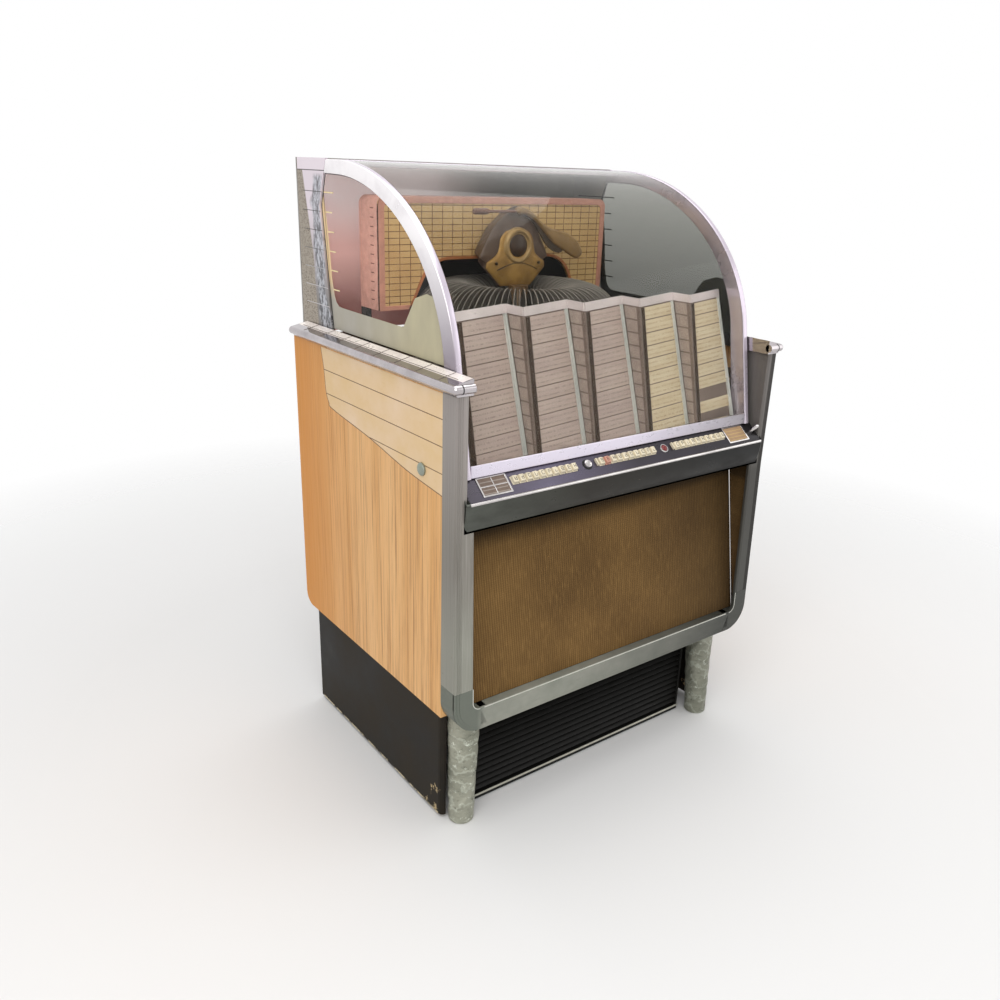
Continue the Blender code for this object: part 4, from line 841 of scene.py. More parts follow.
def belt_tiles(side):
    """Thin dark joints across the ledge and one along it, following its fall."""
    fall = np.array([(belt_inner + 0.002, ledge_top - 0.0001), (roll_x, roll_z + roll_radius + 0.0002)])
    outline = np.concatenate([fall, fall[::-1] + (0, 0.0005)])
    count = int((belt_high.y - belt_start) / tile_pitch)
    joints = [extruded(outline, "y", y - tile_line / 2, y + tile_line / 2)
            for y in belt_high.y - 0.06 - tile_pitch * np.arange(count)]
    middle = fall.mean(0)
    joints.append(extruded([middle - (0.0005, 0), middle + (0.0005, -0.0002),
            middle + (0.0005, 0.0004), middle + (-0.0005, 0.0006)],
            "y", belt_start + 0.02, belt_high.y - 0.02))
    return on_side(gathered(joints), side)


def belt_ring(side):
    """The dark gap ring beside the ball at the corner of the tube."""
    r = roll_radius + 0.0003
    ring = revolved([(r - 0.002, 0), (r, 0), (r, 0.0022), (r - 0.002, 0.0022)], 32)
    return on_side(placed(ring, stood((roll_x - 0.012, belt_start, roll_z), "Y")), side)


# Pillars

pillar_wall = 0.003
pillar_round = 0.0035
flute_count = 3
flute_pitch, flute_width, flute_depth = 0.0041, 0.0027, 0.0012
rib_place, rib_width = 0.0045, 0.0016
cheek_back = pillar_front + 0.068
flare_reach, flare_depth = 0.0105, 0.0083


def flared(shape):
    """Front points below the selector moved forwards, further the lower they are."""
    points = np.array(shape[0], float)
    front = (points[:, 1] < pillar_front + flare_depth) & (points[:, 2] < selector_bottom)
    share = (selector_bottom - points[:, 2]) / (selector_bottom - rail_bottom)
    points[:, 1] -= np.where(front, flare_reach * share, 0)
    return points, shape[1]


def groove(middle, width, depth):
    """A round groove in the pillar's face, as (x, y)."""
    a = np.linspace(-1, 1, 9)
    return np.stack([middle + a * width / 2, pillar_front + depth * np.sqrt(np.maximum(1 - a ** 2, 0))], 1)


def channel(inner, cheek, low, high):
    """A channel open to the rear: a thin rib, a plain face, flutes, a deep outer wall and a cheek."""
    w, r = pillar_wall, pillar_round
    first = arc((inner + r, pillar_front + r), r, 180, 270, 5)
    corner = arc((pillar_outer - r, pillar_front + r), r, -90, 0, 5)
    grooves = [groove(inner + rib_place, rib_width, flute_depth / 2)]
    for k in range(flute_count):
        middle = pillar_outer - r - (flute_count - k - 0.5) * flute_pitch
        grooves.append(groove(middle, flute_width, flute_depth))
    outline = np.concatenate([first, *grooves, corner, [
            (pillar_outer, panel_front - gap), (pillar_outer - w, panel_front - gap),
            (pillar_outer - w, pillar_front + 2 * w), (inner + w, pillar_front + 2 * w),
            (inner + w, cheek), (inner, cheek)]])
    return extruded(outline, "z", low, high)


def pillar(side):
    """A wide flared channel beside the cloth, a narrow one beside the selector and above it."""
    neck, head = selector_bottom - gap, selector_top + gap
    low = flared(channel(pillar_low_inner, pillar_front + frame_depth, casting_top + gap, neck))
    return on_side(gathered([low, channel(pillar_inner, panel_front, neck, head),
            channel(pillar_inner, cheek_back, head, panel_top)]), side)


# Vinyl and lines on the side panels

vinyl_proud = 0.0003
vinyl_top, vinyl_front = 0.929, -0.298
vinyl_edge = ((0.183, 0.929), (0.172, 0.887), (0.165, 0.837), (0.153, 0.815), (0.134, 0.804),
        (-0.025, 0.782), (-0.167, 0.756), (-0.298, 0.741))
vinyl_levels = ((0.883, 0.172), (0.833, 0.165), (0.783, -0.025))
inlay_width = 0.0016


def vinyl_curve():
    """The vinyl's free edge, smoothed through its places."""
    return smooth_line(vinyl_edge, 8)


def side_vinyl(side):
    """The cream vinyl over the upper part of a side panel."""
    outline = np.concatenate([vinyl_curve(), [(vinyl_front, vinyl_top)]])
    return on_side(extruded(outline, "x", body_half, body_half + vinyl_proud), side)


def side_inlay(side):
    """The dark lines along the vinyl's edge and across it."""
    x0, x1 = body_half, body_half + vinyl_proud + 0.0001
    lines = [extruded(ribbon(vinyl_curve(), inlay_width), "x", x0, x1)]
    for z, rear in vinyl_levels:
        lines.append(slab((x0, vinyl_front, z - inlay_width / 2), (x1, rear, z + inlay_width / 2)))
    return on_side(gathered(lines), side)


def fit_side(side, word):
    """Everything that comes in a left and a right: name, shape, finish, body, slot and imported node."""
    left = side < 0
    for name, shape, finish, body, slot, node in (
            ("arch", arch(side), chrome_arch, "dome", "chrome", "dome_frame"),
            ("side_pane", side_pane(side), left_glass if left else right_glass_shaded, "dome", "clear_glass",
            f"side_glass_{word}"),
            ("border_band", border_band(side), screen_paint, "dome", None, None),
            ("glass_ticks", glass_ticks(side, *tick_face), tick_cream, "dome", None, None),
            ("tick_backs", glass_ticks(side, *tick_behind), tick_back, "dome", None, None),
            ("dome_seal", seal_line(side), rubber, "dome", None, None),
            ("hood_side", hood_side(side), hood_chrome, "cabinet", "fluted_alloy", "rear_hood"),
            ("hood_scores", score_lines(side), score_dark, "cabinet", None, None),
            ("belt", belt(side), chrome_belt, "cabinet", "chrome", f"belt_trim_{word}"),
            ("belt_ledge", belt_ledge(side), ledge_plate, "cabinet", None, None),
            ("belt_tiles", belt_tiles(side), joint_brown, "cabinet", None, None),
            ("belt_ring", belt_ring(side), rubber, "cabinet", None, None),
            ("pillar_channel", pillar(side), pillar_left if left else pillar_right_shaded, "cabinet",
            "fluted_alloy", f"pillar_{word}"),
            ("side_vinyl", side_vinyl(side), vinyl, "cabinet", "cream_board", None),
            ("side_inlay", side_inlay(side), inlay, "cabinet", None, None)):
        piece(f"{name}_{word}", shape, finish, body, node=node)


def smoked_glass(name, clear, low_share=1.0, roughness=0.01):
    """Smoked glass: tinted refraction, darker low down by a share; lamps shine through in its tint."""
    tint = (*clear, 1.0)
    f = Finish(name, tint, roughness, Transmission_Weight=1.0, IOR=1.12, Specular_IOR_Level=0.3)
    f.rough(f.noise(5.0, stretch=(3.0, 8.0, 2.0)), 0.55, 0.8, roughness, roughness + 0.05)
    f.tones(f.z, 1.04, 1.26, tuple(low_share * c for c in clear) + (1.0,), tint)
    f.clear_by(f.add("ShaderNodeLightPath", {}, "Is Shadow Ray"), tint)
    return f.done()


def screen_print():
    """The side window's painted border: warm cream by the parting, grey-green below and in front."""
    f = Finish("screen_print", (190, 188, 166), 0.5)
    f.tones(f.y, 0.10, -0.12, (178, 174, 164), (192, 184, 152))
    f.cover(f.noise(16.0, stretch=(1.0, 1.0, 0.5)), 0.35, 0.7, 0.6, (164, 156, 132))
    warm = f.calc("MULTIPLY", f.span(f.z, 1.02, 1.07), f.span(f.y, 0.0, 0.1))
    f.base = f.mix(warm, f.base, (236, 206, 158))
    return f.done()


def plain_noise(name, first, second, scale, roughness, metallic=0.0):
    """Two close tones of one colour in soft patches."""
    f = Finish(name, first, roughness, metallic)
    patch = f.noise(scale, 4.0, 0.6)
    f.tones(patch, 0.35, 0.68, first, second)
    f.rough(patch, 0.3, 0.7, roughness - 0.08, roughness + 0.08)
    return f.done()


def repaint(node, material):
    """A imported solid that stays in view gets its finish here."""
    shown = bpy.data.objects[node]
    shown.data.materials.clear()
    shown.data.materials.append(material)


wood = honey_wood()
vinyl = pale_vinyl()
inlay = painted_line()
kick_paint = black_board()
chrome_arch = arch_plate()
chrome_belt = worn_chrome("chrome_belt", (200, 194, 196), 0.10)
hood_chrome = hood_skin()
hood_paint = plain_noise("hood_paint", (150, 146, 140), (128, 123, 116), 30.0, 0.5, 0.2)
hood_lining = lining()
ledge_plate = plain_noise("ledge_plate", (255, 246, 238), (228, 218, 214), 36.0, 0.3, 0.2)
joint_brown = plain_noise("joint_brown", (104, 94, 88), (128, 116, 106), 80.0, 0.6)
sill_plate = sill_paint()
score_dark = score_paint()
kick_worn = worn_edge()
pillar_left = pillar_finish("alloy_pillar_left", 0.12, 0.0)
# Painted shade: the right pillar is a darker copy, shaded all over and along its outer edge.
pillar_right_shaded = pillar_finish("alloy_pillar_right", 0.85, 0.62)
left_glass = smoked_glass("glass_left", (0.90, 0.87, 0.84))
# Painted shade: the right side glass is a darker copy, darker still low down.
right_glass_shaded = smoked_glass("glass_right", (0.40, 0.41, 0.39), 0.5)
front_glass = smoked_glass("glass_front", (0.70, 0.69, 0.66))
screen_paint = screen_print()
tick_cream = plain_noise("tick_cream", (255, 238, 186), (232, 206, 150), 90.0, 0.5)
tick_back = plain_noise("tick_back", (40, 38, 36), (64, 60, 56), 90.0, 0.6)
rubber = plain_noise("rubber_black", (28, 26, 24), (44, 40, 36), 80.0, 0.6)

for side, word in ((-1, "left"), (1, "right")):
    fit_side(side, word)
    repaint(f"side_panel_{word}", wood)

piece("front_pane", bent_pane(), front_glass, "dome", crease=60, node="dome_glass")
sill = slab((-arch_inner + gap, sill_front, dome_foot[1]),
        (arch_inner - gap, sill_front + sill_thickness, sill_top))
rear_bar = slab((-arch_inner + gap, bar_front, bar_foot), (arch_inner - gap, dome_hinge, dome_high.z))
eased(piece("dome_sill", sill, sill_plate, "dome", node="dome_frame"), 0.0012)
eased(piece("dome_rear_bar", rear_bar, chrome_arch, "dome", node="dome_frame"), 0.0012)
for name, shape, finish in (("hood_shell", hood_shell(), hood_paint),
        ("hood_edges", hood_edges(), hood_chrome),
        ("hood_inside", hood_inside(), hood_lining)):
    piece(name, shape, finish, node="rear_hood")
piece("inner_scores", inner_scores(), rubber)
repaint("kick_panel", kick_paint)


# Selector: a sloping face with slots, a bead and a rolled lip

slope_top = (selector_back, selector_top)
slope_foot_z = selector_top - 0.0342
slope_front = front_y + 0.0035
slope_angle = math.atan2(slope_top[1] - slope_foot_z, slope_top[0] - slope_front)
slope_length = math.hypot(slope_top[1] - slope_foot_z, slope_top[0] - slope_front)
selector_half = pillar_inner - gap
shell_wall = 0.002
key_line = 0.46 * slope_length
key_pitch, key_width, key_length = 0.016, 0.0152, 0.018
group_pitch = 0.2145
keys_in_group = 10
slot_half = keys_in_group * key_pitch / 2
slot_reach = key_length / 2 + 0.0004
button_radius, lamp_radius = 0.0085, 0.0075
hole_gap = 0.0004
key_proud, key_depth = 0.007, 0.0075
lip_foot = front_y + 0.014
bead_height = 0.0065
window_inner, window_outer = 0.3002, 0.3662
window_margin, window_border, window_proud = 0.006, 0.003, 0.0015


def on_slope(x, down, lift=0.0):
    """The matrix that stands a shape on the sloping face, at a distance down it from its top."""
    y = slope_top[0] - down * math.cos(slope_angle) - lift * math.sin(slope_angle)
    z = slope_top[1] - down * math.sin(slope_angle) + lift * math.cos(slope_angle)
    return stood((x, y, z), "X", slope_angle)


def slope_slab(x0, x1, down0, down1, low, high):
    """A thin box on the slope between two places along it."""
    middle = (down0 + down1) / 2
    half = (down1 - down0) / 2
    return placed(slab((x0, -half, low), (x1, half, high)), on_slope(0, middle))


def holed_plate(x0, x1, down0, down1, centre, radius):
    """A plate on the slope with a round hole: its square edge and the round one share a count."""
    ring = circle(1, 32)
    middle = (down0 + down1) / 2
    hole = ring * radius + (centre[0], middle - centre[1])
    square = ring / np.abs(ring).max(1)[:, None]
    edge = square * ((x1 - x0) / 2, (down1 - down0) / 2) + ((x0 + x1) / 2, 0)
    rings = [raised(line, "z", level) for line, level in ((edge, 0), (hole, 0), (hole, -shell_wall),
            (edge, -shell_wall))]
    return placed(carried(rings, round_path=True), on_slope(0, middle))


def selector_face():
    """Strips above and below the slots, plates between them, so the slots are open."""
    half, low = selector_half, -shell_wall
    top_edge, foot_edge = key_line - slot_reach, key_line + slot_reach
    parts = [slope_slab(-half, half, 0, top_edge, low, 0),
            slope_slab(-half, half, foot_edge, slope_length, low, 0)]
    first, last = group_pitch + slot_half, group_pitch - slot_half
    for side in (-1, 1):
        parts.append(slope_slab(*sorted((side * half, side * first)), top_edge, foot_edge, low, 0))
        radius = (button_radius if side < 0 else lamp_radius) + hole_gap
        parts.append(holed_plate(*sorted((side * last, side * slot_half)), top_edge, foot_edge,
                (side * group_pitch / 2, key_line), radius))
    return gathered(parts)


def lip_line(steps=14):
    """From the foot of the slope round the bead and down the rolled lip, as (y, z)."""
    r = bead_height / 2
    bead = arc((front_y + r, slope_foot_z - r), r - 2 * gap, 100, 250, 12)
    s = np.linspace(0.06, 1, steps)
    start = front_y + bead_height / 3
    drop = slope_foot_z - bead_height - selector_bottom
    lip = np.stack([start + (lip_foot - start) * s ** 2.2, slope_foot_z - bead_height - drop * s], 1)
    return np.concatenate([[(slope_front, slope_foot_z)], bead, lip])


def selector_lip():
    """The rolled lip carried across, its ends over the pillars pulled in to a rounded edge."""
    line = lip_line()
    full = selector_high.x
    inner = offset(line, -shell_wall)
    inner[:, 0] = np.maximum(inner[:, 0], line[:, 0] + shell_wall * 0.4)
    section = np.concatenate([line, inner[::-1]])
    over = pillar_front - gap
    rings = []
    for x in np.concatenate([np.linspace(-full, -selector_half - gap, 6),
            np.linspace(selector_half + gap, full, 6)]):
        past = max(0.0, (abs(x) - selector_half) / (full - selector_half))
        ring = section.copy()
        ring[:, 0] = np.minimum(ring[:, 0] + 0.004 * past ** 3, over) if past > 0 else ring[:, 0]
        rings.append(raised(ring, "x", x))
    return carried(rings)


def selector_ends():
    """Plates that close the ends of the lip, and the back wall and floor of the housing."""
    parts = []
    line = lip_line()
    over = pillar_front - gap
    for side in (-1, 1):
        ahead = line.copy()
        ahead[:, 0] = np.minimum(ahead[:, 0] + 0.004, over)
        top = np.array([(over, selector_top - (selector_back - over) * math.tan(slope_angle))])
        outline = np.concatenate([top, ahead, [(over, selector_bottom)]])
        low, high = sorted((side * (selector_high.x - 0.0012), side * selector_high.x))
        parts.append(extruded(outline, "x", low, high))
        wall = sorted((side * (selector_half - shell_wall), side * selector_half))
        outline = np.concatenate([[slope_top], [(y, z) for y, z in line if y < over],
                [(selector_back, selector_bottom)]])
        parts.append(extruded(outline, "x", *wall))
    parts.append(slab((-selector_half, lip_foot, selector_bottom),
            (selector_half, selector_back, selector_bottom + shell_wall)))
    parts.append(slab((-selector_half, selector_back - shell_wall, selector_bottom),
            (selector_half, selector_back, selector_top - shell_wall)))
    return gathered(parts)


def card_frame(side):
    """The raised frame round a card window."""
    x0, x1 = window_inner, window_outer
    top, foot, b = window_margin, slope_length - window_margin, window_border
    high = window_proud
    parts = [slope_slab(x0, x1, top, top + b, 0, high), slope_slab(x0, x1, foot - b, foot, 0, high),
            slope_slab(x0, x0 + b, top + b, foot - b, 0, high),
            slope_slab(x1 - b, x1, top + b, foot - b, 0, high)]
    if side < 0:
        mid_x, mid_d = (x0 + x1) / 2, (top + foot) / 2
        parts.append(slope_slab(mid_x - 0.001, mid_x + 0.001, top + b, foot - b, 0, high * 0.8))
        parts.append(slope_slab(x0 + b, x1 - b, mid_d - 0.001, mid_d + 0.001, 0, high * 0.8))
    return on_side(gathered(parts), side)


def card(side):
    """The card behind a window."""
    b = window_border
    return on_side(slope_slab(window_inner + b, window_outer - b, window_margin + b,
            slope_length - window_margin - b, 0, 0.0004), side)


def key_cap():
    """One key: a block that narrows to a rounded crown, its face towards +Z."""
    rings = []
    for inset, level in ((0.0, -key_depth), (0.0, -0.0005), (0.0012, 0.0005), (0.0014, key_proud - 0.0026),
            (0.0018, key_proud - 0.0012), (0.0026, key_proud - 0.0003), (0.0036, key_proud)):
        section = rounded(key_width - 0.0014 - 2 * inset, key_length - 2 * inset, 0.0013, 3)
        rings.append(raised(section, "z", level))
    return carried(rings)


glyph_strokes = ((-1, 1, 1, 1), (1, 1, 1, 0), (1, 0, 1, -1), (1, -1, -1, -1), (-1, -1, -1, 0),
        (-1, 0, -1, 1), (-1, 0, 1, 0))
glyph_sets = ("245613", "01234560", "0345", "12346", "03456", "0456", "02345", "12456", "34", "3452")
glyph_width, glyph_height, stroke = 0.0023, 0.0036, 0.0009


def key_glyph(kind):
    """A plain character of straight strokes on a key's crown."""
    parts = []
    for index in sorted(set(glyph_sets[kind])):
        ax, ay, bx, by = glyph_strokes[int(index)]
        x0, x1 = sorted((ax * glyph_width, bx * glyph_width))
        y0, y1 = sorted((ay * glyph_height, by * glyph_height))
        parts.append(slab((x0 - stroke / 2, y0 - stroke / 2, key_proud),
                (x1 + stroke / 2, y1 + stroke / 2, key_proud + 0.0002)))
    return gathered(parts)


def group_places():
    """The name, place along x and character of every key."""
    for g, letter in enumerate("abc"):
        for k in range(keys_in_group):
            x = (g - 1) * group_pitch + (k - (keys_in_group - 1) / 2) * key_pitch
            yield f"key_{letter}{k}", x, (k * 3 + g) % len(glyph_sets)


def round_cap(radius, low, profile):
    """A round body from a level up to a turned crown."""
    return revolved([(0, low), (radius, low), *profile], 40)


def selector_bead():
    """The bright bead along the foot of the sloping face."""
    r = bead_height / 2
    path = np.linspace((-selector_half, front_y + r, slope_foot_z - r),
            (selector_half, front_y + r, slope_foot_z - r), 3)
    return swept(path, circle(r, 16))


def lip_highlight():
    """The thin pale edge along the foot of the rolled lip: a painted highlight."""
    return slab((-selector_half, lip_foot - 0.0012, selector_bottom),
            (selector_half, lip_foot + gap, selector_bottom + 0.0022))


def collar(x, radius, width, proud):
    """A flat ring round a round hole in the face."""
    ring = revolved([(radius, 0), (radius + width, 0), (radius + width - proud / 2, proud),
            (radius, proud)], 40)
    return placed(open_ring(ring[0], 40, 3), on_slope(x, key_line, 0.0001))


def group_posts():
    """A short ivory post before the second and the third group of keys."""
    return gathered([slope_slab(g * group_pitch - slot_half - 0.0052, g * group_pitch - slot_half - 0.0022,
            key_line - key_length * 0.42, key_line + key_length * 0.42, 0, 0.0055)
            for g in (0, 1)])


def latch_knob():
    """The round-ended latch at the right end of the face."""
    r, length = 0.0042, 0.022
    knob = revolved([(0, -0.002), (r, -0.002), (r, length - r), (r * 0.87, length - r * 0.5),
            (r * 0.5, length - r * 0.13),
            (0, length)], 24)
    lean = Matrix.Rotation(math.radians(16), 4, "Y")
    return placed(knob, on_slope(pillar_inner - 0.0107, slope_length / 2) @ lean)


def card_lines(side):
    """Pale strips across a card."""
    x0, x1 = window_inner + window_border + 0.002, window_outer - window_border - 0.002
    places = slope_length * np.linspace(0.30, 0.76, 4)
    return on_side(gathered([slope_slab(x0, x1, d, d + 0.0022, 0.0004, 0.0007) for d in places]), side)


# Title rack: wide leaves fall back to the right, narrow ones step forward again

rack_foot, rack_top = rack_low.z, 1.054
rack_columns = 5
rack_left = rack_low.x + 0.0025
column_pitch = -2 * (rack_low.x + 0.0025) / rack_columns
rack_fold = 0.003
valley_foot_y, valley_top_y = -0.281, -0.190
peak_foot_y, peak_top_y = -0.3003, -0.240
leaf_thickness = 0.0025
rail_height, rail_proud = 0.014, 0.0025
divider_width, divider_proud = 0.011, 0.003
strip_count, strip_pitch = 10, 0.0258
strip_head = rack_top - rail_height - 0.003
band_span = (0.035, 0.115)
strip_span = (0.125, 0.915)


def rack_point(k, u, z, proud=0.0):
    """A point on wide leaf k, u of the way from its peak to its valley, raised off it."""
    z = np.asarray(z, float)
    share = (z - rack_foot) / (rack_top - rack_foot)
    peak = peak_foot_y + (peak_top_y - peak_foot_y) * share
    valley = valley_foot_y + (valley_top_y - valley_foot_y) * share
    x0 = rack_left + k * column_pitch + (rack_fold if k else 0)
    x1 = rack_left + (k + 1) * column_pitch
    x, y = x0 + (x1 - x0) * u, peak + (valley - peak) * u
    along = np.stack([np.full_like(share, x1 - x0), valley - peak], -1)
    along /= np.linalg.norm(along, axis=-1)[..., None]
    return np.stack([x + along[..., 1] * proud, y - along[..., 0] * proud, z], -1)


def leaf_slab(k, u0, u1, z0, z1, low, high, levels=2, point=rack_point):
    """A thin slab on wide leaf k between two shares of its width and two heights."""
    corners = ((u0, low), (u1, low), (u1, high), (u0, high))
    return carried([[point(k, u, z, p) for u, p in corners] for z in np.linspace(z0, z1, levels)])


def narrow_point(k, u, z, proud=0.0):
    """A point on the narrow leaf after column k, u of the way from its valley to the next peak."""
    a, b = rack_point(k, 1.0, z), rack_point(k + 1, 0.0, z)
    normal = np.array([-(a[1] - b[1]), b[0] - a[0]])
    normal = normal / np.linalg.norm(normal)
    at = a + (b - a) * u
    at[:2] += normal * -proud if normal[0] > 0 else normal * proud
    return at


def narrow_slab(*place):
    """The same on the narrow leaf after column k."""
    return leaf_slab(*place, point=narrow_point)


def rack_board():
    """The folded board itself: its wide leaves and the thinner narrow ones between them."""
    parts = [leaf_slab(k, 0, 1, rack_foot, rack_top, -leaf_thickness, 0, 13) for k in range(rack_columns)]
    parts += [narrow_slab(k, 0, 1, rack_foot, rack_top, -leaf_thickness * 0.5, 0, 13)
            for k in range(rack_columns - 1)]
    return gathered(parts)


def rack_rail():
    """The bright rail along the head of the leaves."""
    z0, z1 = rack_top - rail_height, rack_top + 0.002
    parts = [leaf_slab(k, 0, 1, z0, z1, 0.0002, rail_proud) for k in range(rack_columns)]
    parts += [narrow_slab(k, 0, 1, z0, z1, 0.0002, rail_proud * 0.8) for k in range(rack_columns - 1)]
    return gathered(parts)


def dividers():
    """A bar left of each valley: a flat base with two raised edges."""
    parts = []
    for k in range(rack_columns):
        width = divider_width / column_pitch
        end = 0.98
        start = end - width
        foot, head = rack_foot, rack_top - rail_height - 0.0005
        parts.append(leaf_slab(k, start, end, foot, head, 0.0002, divider_proud * 0.5))
        for u in (start, end - width * 0.28):
            parts.append(leaf_slab(k, u, u + width * 0.28, foot, head, divider_proud * 0.5, divider_proud))
    return gathered(parts)


def strip_rows(columns, skipped=()):
    """Title strips: ten thin cards down each column, but for the places left empty."""
    tops = [strip_head - row * strip_pitch for row in range(strip_count)]
    return gathered([leaf_slab(k, *strip_span, top - strip_pitch + 0.0022, top, 0.0003, 0.0011)
            for k in columns for row, top in enumerate(tops) if (k, row) not in skipped])


def number_bands():
    """The dark bands with the strips' numbers, down each wide leaf."""
    return gathered([leaf_slab(k, *band_span, rack_foot + 0.002, strip_head, 0.0003, 0.0009)
            for k in range(rack_columns)])


def narrow_strips():
    """Part strips that show on the narrow leaves."""
    tops = [strip_head - row * strip_pitch for row in range(strip_count)]
    return gathered([narrow_slab(k, 0.12, 0.80, top - strip_pitch + 0.003, top, 0.0003, 0.0009)
            for k in range(rack_columns - 1) for top in tops])


# Back board: a printed pan, arched open over the carousel

board_half = board_high.x
board_corner = 0.018
board_border = 0.013
board_foot = 1.002
board_wall = 0.005
arch_top = board_high.z - 0.129
arch_half, arch_lean, arch_corner = 0.2325, 0.052, 0.046


def rounded_corner(before, corner, after, reach, steps=10):
    """A corner rounded by a curve that leaves it on each side at one distance."""
    before, corner, after = (np.asarray(p, float) for p in (before, corner, after))
    start = corner + (before - corner) / np.linalg.norm(before - corner) * reach
    end = corner + (after - corner) / np.linalg.norm(after - corner) * reach
    t = np.linspace(0, 1, steps + 1)[:, None]
    return (1 - t) ** 2 * start + 2 * t * (1 - t) * corner + t ** 2 * end


def board_opening(extra=0.0, foot=board_foot):
    """The opening over the carousel: leaning sides, round corners and a flat crown."""
    half, top = arch_half + extra, arch_top + extra
    narrow = half - arch_lean
    left = rounded_corner((-half, foot), (-narrow, top), (narrow, top), arch_corner + extra)
    return np.concatenate([[(-half, foot)], left, (left * (-1, 1))[::-1], [(half, foot)]])


def board_rim(inset=0.0):
    """The board's outer edge from one foot over the top to the other, its upper corners round."""
    half, top, c = board_half - inset, board_high.z - inset, board_corner - inset * 0.5
    return np.concatenate([[(half, board_foot)], arc((half - c, top - c), c, 0, 90, 8),
            arc((-half + c, top - c), c, 90, 180, 8), [(-half, board_foot)]])


def board_pan():
    """The printed face, open over the carousel."""
    return extruded(np.concatenate([board_opening(), board_rim()]), "y", board_low.y + 0.002,
            board_low.y + 0.002 + board_wall)


def board_returns():
    """The deep sides and top of the pan, folded back from its face."""
    ring = np.concatenate([board_rim(), board_rim(0.004)[::-1]])
    return extruded(ring, "y", board_low.y + 0.002, board_high.y)


def board_frame():
    """The coloured border along the sides, the top and the two feet of the face."""
    front, back = board_low.y, board_low.y + 0.002
    parts = [extruded(np.concatenate([board_rim(), board_rim(board_border)[::-1]]), "y", front, back)]
    foot = slab((arch_half, front, board_foot),
            (board_half - board_border, back, board_foot + board_border * 0.7))
    return gathered([*parts, both(foot)])


def arch_edge():
    """The coloured line round the opening."""
    return extruded(np.concatenate([board_opening(0.0005), board_opening(0.006)[::-1]]), "y", board_low.y,
            board_low.y + 0.002)


def return_ticks():
    """Short dark ticks, one above the other, on the pan's left and right returns."""
    parts = []
    for z in np.arange(board_foot + 0.02, board_high.z - 0.02, 0.0185):
        tick = slab((board_half, board_low.y + 0.022, z), (board_half + gap, board_low.y + 0.036, z + 0.0022))
        parts.append(both(tick))
    return gathered(parts)


def chamber_back():
    """The back of the record chamber, near black as painted shade, inside the pan's returns, and the two thin
    legs it stands on.
    """
    back = slab((-board_half + 0.006, board_high.y - 0.004, board_foot),
            (board_half - 0.006, board_high.y - 0.001, board_high.z - 0.006))
    foot = slab((board_half - 0.012, board_high.y - 0.024, board_low.z),
            (board_half - gap, board_high.y - gap, board_foot - gap))
    return gathered([back, both(foot)])


# Record mechanism

housing_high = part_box("mechanism_housing")[1]
housing_face_y = carousel_y + 0.010
boss_back = housing_high.y
turntable_z = (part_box("turntable")[0].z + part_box("turntable")[1].z) / 2
housing_base = turntable_z - 0.087
bezel_radius, bezel_proud = 0.039, 0.0105
plate_bulge = 0.0075
disc_radius, disc_dome = 0.026, 0.009
disc_base = 0.0035


def both_halves(right):
    """A closed outline from its right half, given from foot to crown."""
    right = np.asarray(right, float)
    return np.concatenate([right, (right * (-1, 1))[::-1]])


def housing_outline():
    """The cast housing from the front: narrow waist, ears, notches, a wide cap and a round crown."""
    crown = arc((0, housing_high.z - 0.022), 0.022, 40, 84, 6)
    cap = [(0.091, 1.1075), (0.0935, 1.1125), (0.0885, 1.123), (0.082, 1.135), (0.068, 1.158),
            (0.055, 1.178), (0.032, 1.197)]
    return both_halves([(0.042, 1.048), (0.0825, 1.088), (0.079, 1.101), *smooth_line(cap, 3), *crown])


def plate_outline():
    """The gold face plate in front: ears below, a collar round the bezel above."""
    collar = smooth_line([(0.080, 1.100), (0.064, 1.109), (0.052, 1.120), (0.0475, 1.136), (0.044, 1.151),
            (0.031, 1.165), (0.012, 1.1705)], 4)
    return both_halves([(0.0415, 1.0485), (0.0815, 1.088), *collar])


def pillow(outline, centre, edge_y, bulge, back_y, steps=7):
    """A body with a softly domed front: rings that shrink towards the centre as they rise."""
    outline, centre = np.asarray(outline), np.asarray(centre)
    small = centre + (outline - centre) * 0.8
    rings = [raised(small, "y", back_y)]
    for turn in np.radians(np.linspace(0, 84, steps)):
        section = centre + (outline - centre) * (1 - 0.62 * (1 - math.cos(turn)))
        rings.append(raised(section, "y", edge_y - bulge * math.sin(turn)))
    return carried(rings)


def bezel():
    """A round collar with a rolled edge round the clamp disc."""
    r, p = bezel_radius, bezel_proud
    ring = revolved([(disc_radius + 0.0006, -0.004), (r, -0.004), (r, p * 0.4), (r - 0.002, p * 0.75),
            (r - 0.005, p), (r - 0.009, p), (disc_radius + 0.0006, p * 0.6)], 56)
    return placed(ring, stood((0, housing_face_y, turntable_z)))


def plate_crease():
    """The arched crease across the face plate, drawn as a dark strip of painted shade, and a screw at each
    end of it.
    """
    x = np.linspace(-0.054, 0.054, 25)
    line = np.stack([x, 1.0985 - 0.0145 * (np.abs(x) / 0.054) ** 1.8], 1)
    front = housing_face_y - plate_bulge
    parts = [extruded(ribbon(line, 0.0018), "y", front, front + 0.006)]
    screw = revolved([(0, 0), (0.0032, 0), (0.0032, 0.0085), (0.002, 0.0095), (0, 0.0098)], 20)
    parts += [placed(screw, stood((s * 0.0585, housing_face_y, 1.098))) for s in (-1, 1)]
    return gathered(parts)


